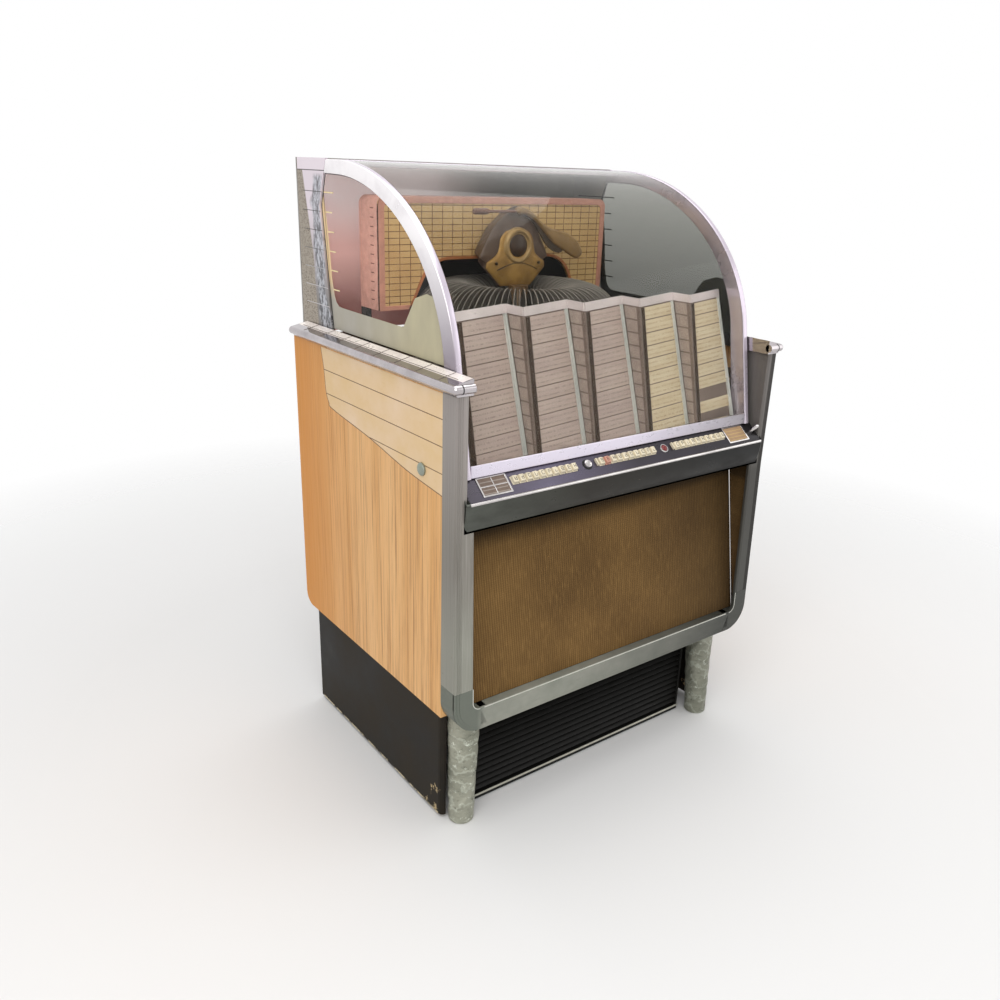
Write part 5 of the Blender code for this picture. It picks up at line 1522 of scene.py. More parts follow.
def column():
    """The turned column under the housing, with a foot ring and a slimmer neck."""
    rise = housing_base - deck_top
    profile = [(0, 0), (0.0385, 0), (0.0385, 0.003), (0.034, 0.006), (0.034, rise - 0.037),
            (0.022, rise - 0.017),
            (0.022, rise + 0.003), (0, rise + 0.003)]
    return placed(revolved(profile, 40), Matrix.Translation((0, carousel_y, deck_top + gap)))


def clamp_disc():
    """The turning disc that clamps a record, with a domed face."""
    r = disc_radius
    a = np.radians(np.linspace(0, 90, 9))
    dome = np.stack([r * np.cos(a), disc_base + disc_dome * np.sin(a)], 1)
    dome[-1, 0] = 0
    return placed(revolved(np.concatenate([[(0, -0.012), (r, -0.012)], dome]), 56),
            stood((0, housing_face_y, turntable_z)))


arm_pivot = (0.0, housing_face_y - gap, turntable_z + 0.0715)
arm_thickness = 0.010
arm_edge = ((-0.012, 1.2065), (-0.006, 1.2150), (0.004, 1.2155), (0.030, 1.2082), (0.0656, 1.1824),
        (0.098, 1.1690),
        (0.130, 1.1627), (0.160, 1.1500), (0.178, 1.1330), (0.1862, 1.1180), (0.180, 1.1075),
        (0.164, 1.1056),
        (0.1295, 1.1232), (0.103, 1.1360), (0.070, 1.1640), (0.041, 1.1890), (0.0133, 1.2010),
        (-0.004, 1.1985))
arm_shade = ((0.0133, 1.2020), (0.041, 1.1900), (0.070, 1.1650), (0.103, 1.1370), (0.1295, 1.1242),
        (0.118, 1.1175),
        (0.098, 1.1235), (0.076, 1.1400), (0.056, 1.1660), (0.040, 1.1840), (0.016, 1.1965))
tail_line = ((0.0, 0.006), (0.003, 0.006), (0.003, 0.082), (0.0052, 0.083), (0.0065, 0.087), (0.0065, 0.116),
        (0.0050, 0.1205), (0.0, 0.122))


def closed_curve(points, steps=4):
    """A closed outline smoothed through its points."""
    p = np.asarray(points, float)
    looped = np.concatenate([p[-2:], p, p[:3]])
    return smooth_line(looped, steps)[2 * steps:-3 * steps - 1]


def arm_body():
    """The arm from its pivot to its broad round head, its edges rounded over."""
    outline, t = closed_curve(arm_edge), arm_thickness
    turn = np.sign(np.cross(np.roll(outline, -1, 0) - outline, np.roll(outline, -2, 0) - outline).sum())
    rings = []
    for inset, level in ((0.0022, 0.0), (0.0, -0.0022), (0.0, -t + 0.004), (0.002, -t + 0.0012),
            (0.0045, -t)):
        rings.append(raised(offset(outline, -turn * inset), "y", arm_pivot[1] + level))
    return carried(rings)


def arm_shadow_flange():
    """The flange under the arm's middle, dark as painted shadow of the arm's underside."""
    return extruded(closed_curve(arm_shade), "y", arm_pivot[1] - 0.004, arm_pivot[1] - 0.0005)


def arm_tail():
    """The level balance rod with its capsule weight."""
    at = (0, arm_pivot[1] - arm_thickness / 2, arm_pivot[2])
    return placed(revolved(tail_line, 24), stood(at, "Y", -math.pi / 2))


record_count = 50
record_radius, record_thickness = 0.0875, 0.002
record_centre_r = 0.1451
record_z = deck_top + gap + 0.0045 + gap + record_radius
hub_radius = 0.0555
fin_height = 0.045
label_radius, spindle_radius = 0.045, 0.019


def ring_of(shape, turn_share=0.0):
    """A shape drawn upright on +X, repeated round the carousel's axis."""
    angles = [2 * math.pi * (k + turn_share) / record_count for k in range(record_count)]
    return gathered([placed(shape, stood((0, carousel_y, 0), "Z", angle)) for angle in angles])


def open_ring(points, sides, rows):
    """A ring turned from a profile that closes on itself: walls all round and no caps."""
    inner = [[a, (a + 1) % sides, sides * rows + (a + 1) % sides, sides * rows + a] for a in range(sides)]
    return points, grid_faces(rows + 1, sides, False, True) + inner


def upright_rings(profile, sides, share=0.0):
    """A turned ring stood upright at each record's place round the carousel."""
    points = revolved(profile, sides)[0]
    ring = open_ring(points, sides, len(profile) - 1)
    return ring_of(placed(ring, stood((record_centre_r, 0, record_z))), share)


def record_discs():
    """The records, thinner between rim and label."""
    t, r = record_thickness / 2, record_radius
    return upright_rings([(spindle_radius, -t * 0.8), (r - 0.004, -t * 0.8), (r - 0.002, -t),
            (r - 0.0008, -t),
            (r - 0.0008, t), (r - 0.002, t), (r - 0.004, t * 0.8),
            (spindle_radius, t * 0.8)], 56)


def record_rims():
    """The pale rim of each record, a painted highlight on its edge."""
    t, r = record_thickness / 2, record_radius
    return upright_rings([(r - 0.0008, -t), (r, -t * 0.5), (r, t * 0.5), (r - 0.0008, t)], 56)


def divider_hoops():
    """A thin wire hoop between each record and the next."""
    t, r = 0.0005, record_radius - 0.0012
    return upright_rings([(r - 0.0012, -t), (r, -t), (r, t), (r - 0.0012, t)], 40, 0.5)


def record_labels():
    """The paper label of each record."""
    t = record_thickness / 2
    return upright_rings([(spindle_radius + 0.001, -t), (label_radius, -t), (label_radius, t),
            (spindle_radius + 0.001, t)], 40)


def carousel_tray():
    """The tray under the records, with its hub."""
    low, tray = carousel_low.z, 0.0045
    hub_top = carousel_high.z
    profile = [(0.040, low), (carousel_radius, low), (carousel_radius, low + tray), (hub_radius, low + tray),
            (hub_radius, hub_top - 0.004), (hub_radius - 0.004, hub_top), (0.040, hub_top)]
    ring = open_ring(revolved(profile, 96)[0], 96, len(profile) - 1)
    return placed(ring, Matrix.Translation((0, carousel_y, 0)))


def carousel_fins():
    """Thin ribs that stand between the records."""
    low = carousel_low.z + 0.004
    fin = slab((hub_radius, -0.0006, low), (carousel_radius - 0.0045, 0.0006, low + fin_height))
    return ring_of(fin, 0.5)


# Grille: a leaning board in cloth, in a painted frame with corner rods

rod_radius = 0.0025
rod_x = pillar_inner - 0.0045 - rod_radius
cloth_foot, cloth_head = cloth_low.z, cloth_high.z
cloth_lean = 0.064
cloth_front = cloth_low.y
board_depth = 0.007
cloth_half = 0.3945
fillet = 0.016
shelf_thickness = 0.006


def grille_y(z):
    """How far back the cloth lies at a height."""
    return cloth_front + cloth_lean * (z - cloth_foot) / (selector_bottom - cloth_foot)


def cloth_face():
    """The stretched cloth: a grid between the frame's sides, pulled in a little along its edges."""
    u, v = np.meshgrid(np.linspace(-1, 1, 90), np.linspace(0, 1, 50))
    x = cloth_half * u
    z = cloth_foot + 0.001 + (cloth_head - cloth_foot - 0.002) * v
    edge = np.minimum(np.minimum(1 - np.abs(u), v), 1 - v)
    soft = 0.0012 * (1 - np.exp(-edge * 16)) + 0.0005 * np.sin(7 * u + 5 * v) * np.minimum(edge * 6, 1)
    return sheet_of(np.stack([x, grille_y(z) + 0.0018 - soft, z], 2))


def grille_board():
    """The leaning board that the cloth is stretched over."""
    foot, head, front = cloth_foot + 0.0005, cloth_head - 0.0005, 0.002
    back = front + board_depth
    lean = [(grille_y(z) + d, z) for z, d in ((foot, front), (foot, back), (head, back), (head, front))]
    return extruded(lean, "x", -cloth_half, cloth_half)


def cheeks():
    """The three-cornered cheeks that close the sides in front of the leaning cloth."""
    strip_back = pillar_front + frame_depth + gap
    head = cloth_head - 0.0005
    triangle = [(strip_back, cloth_foot + 0.001), (grille_y(head) + 0.001, head), (strip_back, head)]
    return both(extruded(triangle, "x", cloth_half + 0.0006, cloth_high.x))


def grille_rods():
    """A chrome rod down each side of the cloth."""
    levels = (rail_top - rod_radius, selector_bottom - gap - rod_radius)
    rods = []
    for side in (-1, 1):
        ends = [(side * rod_x, grille_y(z) - rod_radius - 2 * gap, z) for z in levels]
        rods.append(swept(np.linspace(*ends, 3), circle(rod_radius, 16), up=(0, 1, 0)))
    return gathered(rods)


def casting_outline(inset=0.0):
    """The corner casting: a quarter arc between two straights, with a hollow corner above."""
    r = casting_radius - inset
    x, z = pillar_outer - casting_radius, rail_bottom + casting_radius
    return np.concatenate([[(x - fillet, z - r)], arc((x, z), r, -90, 0, 20),
            [(x + r, casting_top), (pillar_low_inner, casting_top)],
            arc((pillar_low_inner - fillet, rail_top + fillet), fillet, 0, -90, 8)])


def casting_rim():
    """The casting's bent side, which runs back to the side panel."""
    x, z = pillar_outer - casting_radius, rail_bottom + casting_radius
    bend = arc((x, z), casting_radius, -90, 0, 20)
    inner = arc((x, z), casting_radius - pillar_wall, 0, -90, 20)
    return np.concatenate([bend, [(pillar_outer, casting_top),
            (pillar_outer - pillar_wall, casting_top)], inner])


def grille_beam():
    """The painted beam with a step along it and a casting of stepped plates at each end."""
    front, back, step = pillar_front, panel_front, 0.0018
    reach = pillar_outer - casting_radius
    profile = [(front + step, rail_bottom), (front + step, rail_bottom + 0.009),
            (front, rail_bottom + 0.0095),
            (front, rail_top - 0.006), (front + 0.0008, rail_top - 0.0052),
            (front + 0.0008, rail_top - 0.001),
            (front + 0.002, rail_top), (back, rail_top), (back, rail_bottom)]
    steps = ((0.0, 0.0016, frame_depth), (0.005, 0.0008, 0.0017), (0.011, 0.0, 0.0009))
    corner = [extruded(casting_outline(inset), "y", front + ahead, front + behind)
            for inset, ahead, behind in steps]
    corner.append(extruded(casting_rim(), "y", front + frame_depth / 2, back))
    corner.append(slab((reach - fillet, front + frame_depth / 2, rail_top - shelf_thickness),
            (pillar_inner, back, rail_top)))
    return flared(gathered([extruded(profile, "x", -reach, reach), both(gathered(corner))]))


def beam_lines():
    """The bright line along the beam's upper edge and round each casting's hollow corner: a painted highlight
    on the edges.
    """
    reach = pillar_outer - casting_radius - fillet * 0.6
    edge = slab((-reach, pillar_front - gap, rail_top - 0.0022),
            (reach, pillar_front + 0.0012, rail_top - 0.0004))
    bend = arc((pillar_low_inner - fillet, rail_top + fillet), fillet + 0.001, -90, 0, 10)
    line = np.concatenate([bend, [(pillar_low_inner + 0.001, casting_top)]])
    round_corner = extruded(ribbon(line, 0.0016), "y", pillar_front - gap, pillar_front + 0.0004)
    return flared(gathered([edge, both(round_corner)]))


# Legs, bars, louvers

leg_x, leg_y = 0.364, -0.278
leg_splay = 0.008
leg_top = rail_bottom - gap
rear_leg_y = 0.262
bar_width, bar_depth, side_bar_depth = 0.018, 0.070, 0.040
leg_profile = ((0.0240, 0.0), (0.0262, 0.002), (0.027, 0.006), (0.0278, 0.030), (0.0300, 0.100),
        (0.0325, 0.190), (0.0342, leg_top))
rear_profile = ((0.017, 0.0), (0.020, 0.006), (0.020, 0.012), (0.020, 0.030), (0.020, 0.080), (0.020, 0.256))


def turned_leg(profile, x, y, wrinkle=0.0, splay=0.0):
    """A leg turned from a profile, its skin wrinkled by crossing waves, its head leaning inwards."""
    line = smooth_line(profile, 12)
    points, faces = revolved(np.concatenate([[(0.0, 0.0)], line, [(0.0, line[-1, 1])]]), 64)
    a, z = np.arctan2(points[:, 1], points[:, 0]), points[:, 2]
    ripple = 0.6 * np.sin(7 * a - 150 * z + 2 * np.sin(40 * z))
    waves = np.sin(3 * a + 95 * z) * np.sin(61 * z - 2 * a) + ripple
    inside = np.clip(z / 0.02, 0, 1) * np.clip((profile[-1][1] - z) / 0.02, 0, 1)
    points[:, :2] *= 1 - wrinkle * (1 + waves[:, None]) * inside[:, None] / 0.03
    share = z / profile[-1][1]
    points[:, 0] += x - math.copysign(splay, x) * share
    points[:, 1] += y + splay * share
    return points, faces


def legs():
    """Four turned legs and the flat bars that join them under the body."""
    parts = [turned_leg(leg_profile, s * leg_x, leg_y, 0.0009, leg_splay) for s in (-1, 1)]
    parts += [turned_leg(rear_profile, s * leg_x, rear_leg_y) for s in (-1, 1)]
    top, half = leg_high.z, bar_width / 2
    bar_y = louver_high.y + gap + half
    parts.append(slab((-leg_x, bar_y - half, top - bar_depth), (leg_x, bar_y + half, top)))
    parts.append(slab((-leg_x, rear_leg_y - half, top - side_bar_depth), (leg_x, rear_leg_y + half, top)))
    parts += [slab((s * leg_x - half, leg_y + leg_splay, top - side_bar_depth),
            (s * leg_x + half, rear_leg_y, top)) for s in (-1, 1)]
    return gathered(parts)


def kick_edge():
    """The pale worn edge along the foot of each kick board."""
    y0, y1 = kick_low.y + 0.012, kick_high.y - 0.01
    return both(slab((kick_high.x, y0, kick_low.z), (kick_high.x + gap, y1, kick_low.z + 0.0035)))


louver_count = 14
louver_frame = 0.006
louver_sill = 0.014
bead_radius = 0.004


def louver_blades():
    """Thin blades that fall towards the front, in a frame with a high sill."""
    half, front, back = louver_high.x, louver_low.y + bead_radius, louver_high.y
    top, foot = louver_high.z, louver_low.z
    w, sill = louver_frame, louver_low.z + louver_sill
    pitch = (top - sill - w) / (louver_count + 1)
    parts = [slab((-half, front, foot), (half, back, sill)), slab((-half, front, top - w), (half, back, top))]
    parts.append(both(slab((half - w, front, sill), (half, back, top - w))))
    s = np.linspace(0, 1, 8)
    for k in range(louver_count):
        z = sill + (k + 1) * pitch
        line = np.stack([front + 0.001 + (back - front - 0.003) * s, z - 0.007 * (1 - s) ** 1.6], 1)
        parts.append(extruded(ribbon(line, 0.0018), "x", -half + w, half - w))
    return gathered(parts)


def louver_bead():
    """The pale bead along the louver's sill."""
    y, z = louver_low.y + bead_radius, louver_low.z + louver_sill - bead_radius
    path = np.linspace((-louver_high.x, y, z), (louver_high.x, y, z), 3)
    return swept(path, circle(bead_radius * 0.62, 16))


def printed_board():
    """Cream board printed with a brown grid that fades and wears."""
    f = Finish("board_print", (205, 180, 131), 0.55)
    line = 0.0017
    across, down = (f.calc("LESS_THAN", f.calc("FRACT", f.calc("DIVIDE", value, pitch)), line / pitch)
            for value, pitch in ((f.z, 0.0132), (f.x, 0.026)))
    faded = f.span(f.noise(60.0), 0.3, 0.55, 0.55, 1.0)
    f.tones(f.noise(6.0), 0.35, 0.7, (212, 182, 126), (188, 150, 94))
    f.base = f.mix(f.calc("MULTIPLY", f.calc("MAXIMUM", across, down), faded), f.base, (96, 56, 26))
    return f.done()


def title_card(name, first, second, ink):
    """A title strip: two faint rows of print, broken like words."""
    f = Finish(name, first, 0.5)
    row = f.calc("FRACT", f.calc("DIVIDE", f.calc("SUBTRACT", strip_head, f.z), strip_pitch))
    upper, lower = (f.calc("MULTIPLY", f.calc("GREATER_THAN", row, low), f.calc("LESS_THAN", row, high))
            for low, high in ((0.24, 0.36), (0.60, 0.72)))
    letters = f.noise(420.0, 2.0, 0.6, (1.0, 0.2, 0.16))
    words = f.calc("MULTIPLY", f.calc("MAXIMUM", upper, lower), f.calc("GREATER_THAN", letters, 0.50))
    f.tones(f.noise(9.0, 3.0, stretch=(1.0, 1.0, 6.0)), 0.3, 0.7, first, second)
    f.base = f.mix(f.calc("MULTIPLY", words, 0.4), f.base, ink)
    return f.done()


def weave():
    """Speaker cloth: upright ribs of gold and brown, grubby, with painted shadow under the lip and beside the
    left pillar and painted shade towards the right.
    """
    f = Finish("cloth_weave", (112, 84, 48), 0.85, Specular_IOR_Level=0.2)
    ribs, weft = (f.calc("SINE", f.calc("MULTIPLY", value, 2 * math.pi / pitch))
            for value, pitch in ((f.x, 0.0056), (f.z, 0.0044)))
    f.tones(f.noise(4.0, 5.0, 0.6), 0.35, 0.68, (134, 102, 58), (104, 77, 42))
    f.cover(ribs, -0.6, 1.0, 0.46, (58, 41, 20))
    f.cover(weft, -1.0, 1.0, 0.16, (58, 41, 20))
    f.cover(f.noise(1.0, 3.0, stretch=(300.0, 1.0, 40.0)), 0.52, 0.76, 0.28, (168, 132, 80))
    # Painted shadow under the lip, painted shadow of the left pillar along the cloth's left edge, and painted
    # shade towards the right, all laid on as dark brown.
    under = f.span(f.z, 0.606, 0.640, 0.0, 0.84)
    edge = f.span(f.z, cloth_foot, selector_bottom, 0.004 - cloth_half, 0.036 - cloth_half)
    beside = f.span(f.calc("SUBTRACT", f.x, edge), 0.003, -0.003, 0.0, 0.55)
    right = f.span(f.x, 0.05, 0.36, 0.0, 0.60)
    f.base = f.mix(f.calc("MAXIMUM", f.calc("MAXIMUM", under, beside), right), f.base, (34, 24, 10))
    f.bump(f.calc("ADD", ribs, f.calc("MULTIPLY", weft, 0.4)), 0.0004, 0.5)
    return f.done()


def beam_paint():
    """Dull green-grey paint on the beam and its castings, with painted shade darkening it towards the right
    end.
    """
    f = Finish("paint_frame", (156, 157, 146), 0.42, 0.2)
    scuff = f.noise(60.0, 5.0, 0.7, (0.4, 1.0, 2.0))
    f.tones(f.noise(14.0, 4.0, 0.6), 0.35, 0.7, (152, 152, 141), (130, 133, 122))
    f.cover(f.x, -0.355, -0.375, 0.8, (90, 97, 87))
    # Painted shade: darker towards the right end.
    f.cover(f.x, -0.16, 0.36, 0.92, (44, 45, 41))
    f.cover(scuff, 0.64, 0.76, 0.6, (92, 90, 80))
    f.rough(scuff, 0.3, 0.7, 0.36, 0.56)
    return f.done()


def silver_paint():
    """Silver paint over wrinkled tape: slanting creases with painted highlights, painted shade in the
    wrinkles' hollows, runs, bright chips, and painted shade on the right leg.
    """
    f = Finish("paint_silver", (150, 150, 138), 0.4, 0.35)
    slant = f.calc("ADD", f.calc("MULTIPLY", f.z, 150.0), f.calc("MULTIPLY", f.x, 70.0))
    slant = f.calc("SINE", f.calc("ADD", slant, f.calc("MULTIPLY", f.noise(22.0, 3.0, 0.6), 16.0)))
    wrinkle = f.noise(58.0, 6.0, 0.7, (1.0, 1.0, 1.6))
    f.tones(f.noise(12.0), 0.35, 0.7, (166, 166, 150), (132, 134, 118))
    # Painted shade in the wrinkles' hollows.
    f.cover(wrinkle, 0.46, 0.30, 0.7, (84, 87, 72))
    # Painted highlights along the slanting creases.
    f.cover(slant, 0.72, 0.98, 0.45, (206, 210, 194))
    f.cover(f.noise(84.0, 5.0, 0.7, (1.0, 1.0, 1.3)), 0.60, 0.66, 0.85, (232, 236, 222))
    # Painted shade on the right leg.
    f.cover(f.x, 0.0, 0.1, 0.3, (70, 72, 62))
    f.rough(wrinkle, 0.3, 0.7, 0.24, 0.56)
    f.bump(f.calc("ADD", wrinkle, f.calc("MULTIPLY", slant, 0.12)), 0.009, 0.6)
    return f.done()


def cast_gold():
    """Old gold-bronze paint on a casting, darker in stains."""
    f = Finish("gold_cast", (165, 128, 63), 0.4, 0.35)
    stain = f.noise(24.0, 5.0, 0.6)
    f.tones(stain, 0.35, 0.7, (178, 140, 76), (122, 90, 48))
    f.rough(stain, 0.3, 0.7, 0.3, 0.5)
    f.bump(f.noise(300.0, 2.0), 0.0002, 0.5)
    return f.done()


def dyed(name, tone, roughness, metallic=0.0, **more):
    """One colour, made uneven by a little dust and wear."""
    f = Finish(name, tone, roughness, metallic, **more)
    dust = f.noise(55.0, 4.0, 0.65)
    f.cover(dust, 0.35, 0.75, 0.7, tuple(0.62 * c for c in f.base[:3]) + (1.0,))
    f.rough(dust, 0.3, 0.7, roughness * 0.8, roughness * 1.3)
    return f.done()


# Painted reflection makes the face lighter lilac under the left keys; painted shade darkens it towards the
# right.
face_plate = plate_along("selector_face",
        ((-0.40, (82, 78, 84)), (-0.22, (112, 106, 124)), (0.02, (66, 62, 68)),
        (0.30, (50, 48, 50))), 0.24, 0.8)
# Painted shade darkens the lip towards its right end, to near black.
lip_plate = plate_along("selector_lip", ((-0.42, (84, 87, 80)), (-0.12, (44, 41, 35)),
        (0.30, (7, 7, 7))), 0.3, 0.5)
ivory = dyed("ivory_keys", (232, 220, 192), 0.35)
red_key = dyed("key_red", (202, 146, 126), 0.4)
dark_ink = dyed("ink_dark", (48, 36, 28), 0.5)
slot_black = dyed("slot_black", (18, 16, 15), 0.6)
red_glass = dyed("lens_red", (120, 24, 20), 0.12)
card_brown = dyed("card_brown", (112, 94, 82), 0.5)
card_grey = dyed("card_grey", (150, 138, 128), 0.5)
card_tan = dyed("card_tan", (170, 138, 104), 0.5)
mauve_card = title_card("card_mauve", (204, 187, 179), (190, 172, 167), (134, 114, 110))
cream_card = title_card("card_cream", (232, 218, 190), (220, 202, 170), (140, 112, 82))
band_brown = dyed("band_brown", (66, 48, 34), 0.5)
rack_paint = dyed("rack_mauve", (138, 122, 114), 0.5)
side_card = dyed("card_side", (184, 168, 160), 0.5)
rail_alloy = brushed_alloy("alloy_rail", (240, 230, 234), (216, 206, 208), 0.35, 0.2, "x")
divider_alloy = brushed_alloy("alloy_divider", (236, 240, 238), (206, 212, 212), 0.3, 0.3)
board_finish = printed_board()
salmon = dyed("border_salmon", (201, 143, 122), 0.5)
return_pink = dyed("return_pink", (222, 172, 158), 0.5)
tick_dark = dyed("tick_dark", (120, 66, 56), 0.5)
orange_edge = dyed("edge_orange", (176, 108, 62), 0.5)
# Near black: painted shade inside the record chamber.
dark_chamber = dyed("chamber_dark", (26, 22, 18), 0.8)
gold = cast_gold()
lens_dark = dyed("lens_dark", (64, 46, 32), 0.16)
cap_brown = dyed("cap_brown", (92, 73, 60), 0.45)
arm_gold = dyed("arm_gold", (142, 112, 68), 0.45)
bezel_gold = dyed("bezel_gold", (172, 142, 92), 0.35, 0.2)
# Darkened as painted shade, for the dark chamber round the column.
column_dark = dyed("column_dark", (96, 72, 44), 0.5)
weight_dark = dyed("weight_dark", (112, 74, 58), 0.4)
# Dark brown for painted shade: the arm's underside and the crease in the face plate.
painted_shade_brown = dyed("painted_shade_brown", (66, 50, 30), 0.5)
vinyl_black = dyed("record_black", (106, 102, 97), 0.45)
# Pale grey: a painted highlight on the record rims, and the hoops' own grey.
rim_grey = dyed("rim_grey", (138, 132, 126), 0.45)
label_cream = dyed("label_cream", (190, 160, 110), 0.6)
carousel_grey = dyed("carousel_grey", (120, 112, 102), 0.5)
cloth = weave()
frame_paint = beam_paint()
line_pale = dyed("line_pale", (216, 216, 206), 0.4, 0.2)
silver = silver_paint()
louver_black = dyed("louver_black", (14, 13, 10), 0.5, Specular_IOR_Level=0.25)
bead_pale = dyed("bead_pale", (186, 184, 170), 0.35, 0.3)
hidden_board = dyed("board_plain", (70, 54, 38), 0.7)
chrome_small = worn_chrome("chrome_small", (210, 206, 204), 0.10)

eased(piece("selector_face", selector_face(), face_plate, node="selector_housing"), 0.0003, 1)
for name, shape in (("selector_lip", selector_lip()), ("selector_ends", selector_ends())):
    piece(name, shape, lip_plate, node="selector_housing")
for side, word in ((-1, "left"), (1, "right")):
    eased(piece(f"card_frame_{word}", card_frame(side), chrome_small), 0.0004, 2)
    piece(f"card_{word}", card(side), card_brown if side < 0 else card_tan)
    piece(f"card_lines_{word}", card_lines(side), card_grey if side < 0 else label_cream)
piece("selector_bead", selector_bead(), chrome_small)
# A painted highlight along the lip's foot.
piece("selector_lip_highlight", lip_highlight(), bead_pale)
piece("button_ring", collar(-group_pitch / 2, button_radius + hole_gap, 0.0026, 0.0007), slot_black)
piece("lens_ring", collar(group_pitch / 2, lamp_radius + hole_gap, 0.0022, 0.0014), chrome_small)
piece("group_posts", group_posts(), ivory)
piece("latch_knob", latch_knob(), chrome_small)

for name, x, kind in group_places():
    piece(f"{name}_cap", placed(key_cap(), on_slope(x, key_line)),
            red_key if name == "key_b1" else ivory, name, node=name)
    piece(f"{name}_mark", placed(key_glyph(kind), on_slope(x, key_line)), dark_ink, name)

rim = [(button_radius, 0.0042), (button_radius - 0.0006, 0.0054), (button_radius - 0.002, 0.006),
        (0.003, 0.0052), (0, 0.0050)]
piece("button_cap", placed(round_cap(button_radius, -0.012, rim),
        on_slope(-group_pitch / 2, key_line)), chrome_small, "select_button",
        node="select_button")
a = np.radians(np.linspace(0, 90, 9))
bulb = np.stack([lamp_radius * np.cos(a), 0.001 + 0.004 * np.sin(a)], 1)
bulb[-1, 0] = 0
piece("lamp_lens", placed(round_cap(lamp_radius, -0.008, bulb), on_slope(group_pitch / 2, key_line)),
        red_glass, node="indicator_lens")

piece("rack_board", rack_board(), rack_paint, node="title_rack")
piece("rack_rail", rack_rail(), rail_alloy)
piece("rack_dividers", dividers(), divider_alloy)
piece("rack_strips_left", strip_rows((0, 1, 2)), mauve_card)
piece("rack_strips_right", strip_rows((3, 4), ((4, 7), (4, 9))), cream_card)
piece("rack_bands", number_bands(), band_brown)
piece("rack_side_strips", narrow_strips(), side_card)

piece("board_print", board_pan(), board_finish, node="backboard")
piece("board_returns", board_returns(), return_pink, node="backboard")
piece("board_return_ticks", return_ticks(), tick_dark)
piece("board_border", board_frame(), salmon)
piece("board_arch_edge", arch_edge(), orange_edge)
piece("chamber_back", chamber_back(), dark_chamber)

shield = pillow(housing_outline(), (0.0, turntable_z + 0.004), housing_face_y + 0.0085, 0.0085, boss_back)
piece("housing_cap", shield, cap_brown, node="mechanism_housing")
plate = pillow(plate_outline(), (0.0, turntable_z - 0.01), housing_face_y + 0.001, plate_bulge,
        housing_face_y + 0.012)
piece("housing_plate", plate, gold)
piece("plate_crease", plate_crease(), painted_shade_brown)
piece("housing_column", column(), column_dark)
piece("housing_bezel", bezel(), bezel_gold)
piece("clamp_disc", clamp_disc(), lens_dark, "turntable", node="turntable")
piece("arm_casting", arm_body(), arm_gold, "tone_arm", node="tone_arm")
piece("arm_rod", arm_tail(), weight_dark, "tone_arm")
piece("arm_shadow_flange", arm_shadow_flange(), painted_shade_brown, "tone_arm")

piece("record_discs", record_discs(), vinyl_black, "carousel", node="records")
piece("record_rims", record_rims(), rim_grey, "carousel")
piece("divider_hoops", divider_hoops(), rim_grey, "carousel")
piece("record_labels", record_labels(), label_cream, "carousel")
piece("carousel_tray", carousel_tray(), carousel_grey, "carousel",
        node="record_carousel")
piece("carousel_fins", carousel_fins(), carousel_grey, "carousel")

piece("grille_board", grille_board(), hidden_board, node="grille_panel")
made = piece("grille_cloth", cloth_face(), cloth, closed=False,
        node="grille_panel")
piece("grille_cheeks", cheeks(), cloth)
eased(piece("grille_beam", grille_beam(), frame_paint, node="grille_frame"), 0.0008)
piece("grille_rods", grille_rods(), chrome_small)
# A painted highlight along the beam's edge and round the castings' hollow corners.
piece("beam_lines", beam_lines(), line_pale)
piece("turned_legs", legs(), silver, node="leg_frame")
piece("louver_blades", louver_blades(), louver_black, node="louver_grille")
piece("louver_bead", louver_bead(), bead_pale)
piece("kick_edge", kick_edge(), kick_worn)
repaint("side_lock", worn_chrome("lock_plate", (150, 158, 146), 0.3))
repaint("speaker", louver_black)
repaint("cabinet_frame", hidden_board)
repaint("rear_door", hidden_board)


# Camera, light and floor


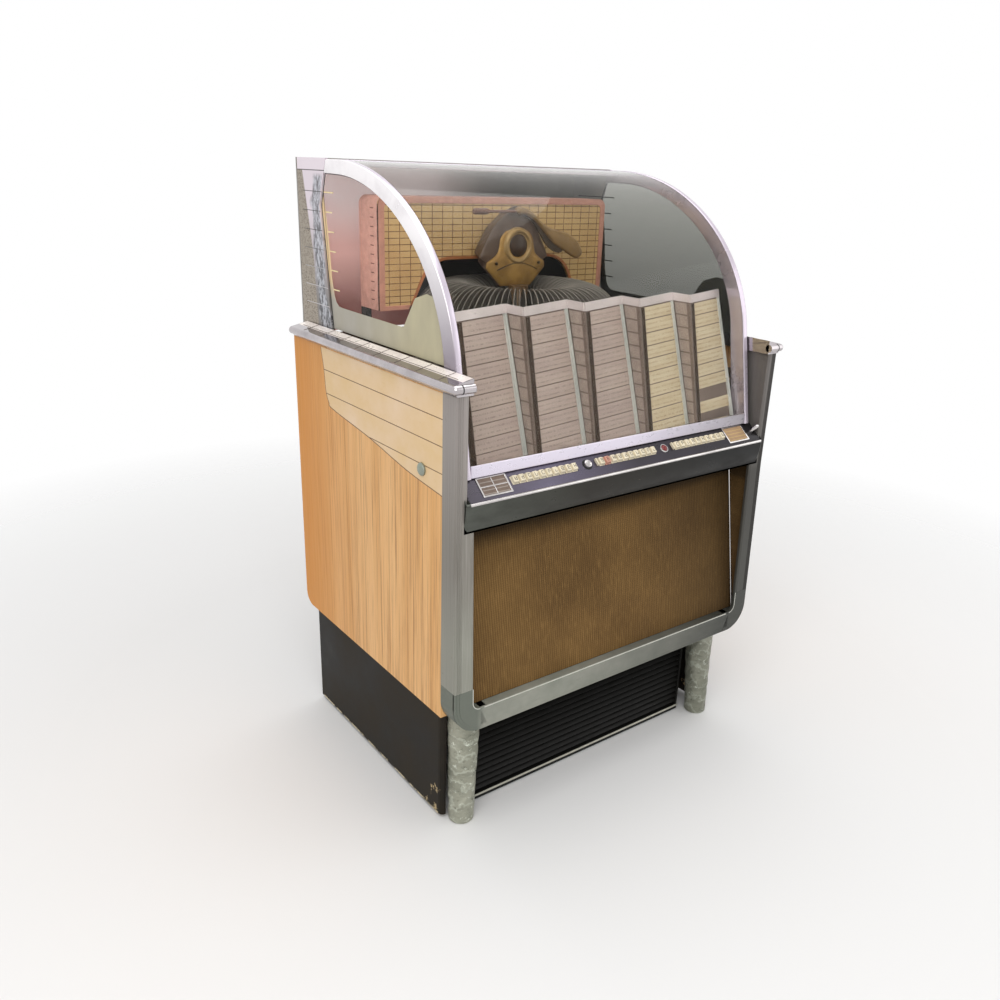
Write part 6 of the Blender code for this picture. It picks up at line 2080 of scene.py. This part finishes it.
def set_camera():
    """The camera of the photograph: heading, pitch and roll about its own place."""
    h, p, r = camera_heading, camera_pitch, camera_roll
    forward = Vector((math.sin(h) * math.cos(p), math.cos(h) * math.cos(p), math.sin(p)))
    right = Vector((math.cos(h), -math.sin(h), 0))
    up = right.cross(forward)
    across = right * math.cos(r) + up * math.sin(r)
    over = up * math.cos(r) - right * math.sin(r)
    turn = Matrix((across, over, -forward)).transposed().to_4x4()
    data = bpy.data.cameras.new("photo_camera")
    data.sensor_width = sensor_mm
    data.lens = focal_pixels / image_pixels * sensor_mm
    data.shift_x = (image_pixels / 2 - centre_pixels[0]) / image_pixels
    data.shift_y = (centre_pixels[1] - image_pixels / 2) / image_pixels
    data.clip_start = 0.05
    camera = bpy.data.objects.new("photo_camera", data)
    camera.matrix_world = Matrix.Translation(camera_place) @ turn
    bpy.context.scene.collection.objects.link(camera)
    bpy.context.scene.camera = camera


def area_light(name, place_at, aim, size, power, colour=(1, 1, 1)):
    """A soft square lamp aimed at a point."""
    data = bpy.data.lights.new(name, "AREA")
    data.shape = "RECTANGLE"
    data.size, data.size_y = size
    data.energy = power
    data.color = colour
    lamp = bpy.data.objects.new(name, data)
    lamp.location = place_at
    lamp.rotation_euler = (Vector(aim) - Vector(place_at)).to_track_quat("-Z", "Y").to_euler()
    bpy.context.scene.collection.objects.link(lamp)
    return lamp


def white_world():
    """White to the camera, through glass and in mirrors; a dimmer soft light for the rest."""
    world = bpy.data.worlds.new("studio")
    world.use_nodes = True
    n = Nodes(world.node_tree)
    rays = n.add("ShaderNodeLightPath", {}).node.outputs
    seen = n.calc("MAXIMUM", rays["Is Camera Ray"], rays["Is Transmission Ray"])
    seen = n.calc("MAXIMUM", seen, rays["Is Glossy Ray"])
    back = n.tree.nodes["Background"]
    n.join(n.span(seen, 0.0, 1.0, world_light, 1.0), back.inputs["Strength"])
    n.join((1, 1, 1, 1), back.inputs["Color"])
    bpy.context.scene.world = world


def pale_floor():
    """A wide pale disc that fades out before its edge, so no horizon shows."""
    f = Finish("floor_pale", (236, 235, 234), 0.75)
    far = f.calc("SQRT", f.calc("ADD", f.calc("POWER", f.x, 2.0), f.calc("POWER", f.y, 2.0)))
    f.clear_by(f.span(far, 1.1, 2.6))
    mesh = bpy.data.meshes.new("studio_floor")
    mesh.from_pydata(raised(circle(3.0, 96), "z", 0.0).tolist(), [], [list(range(96))])
    mesh.materials.append(f.done())
    made = bpy.data.objects.new("studio_floor", mesh)
    bpy.context.scene.collection.objects.link(made)


world_light = 0.55
set_camera()
white_world()
pale_floor()
area_light("key", (-1.9, -2.0, 2.9), (0, 0, 0.75), (2.6, 2.6), 62)
area_light("fill", (2.3, -1.9, 1.7), (0, 0, 0.7), (2.4, 2.4), 16)
area_light("over", (0.1, 0.3, 3.1), (0, 0, 1.0), (2.4, 2.4), 34)

bpy.context.scene.view_settings.view_transform = "Standard"
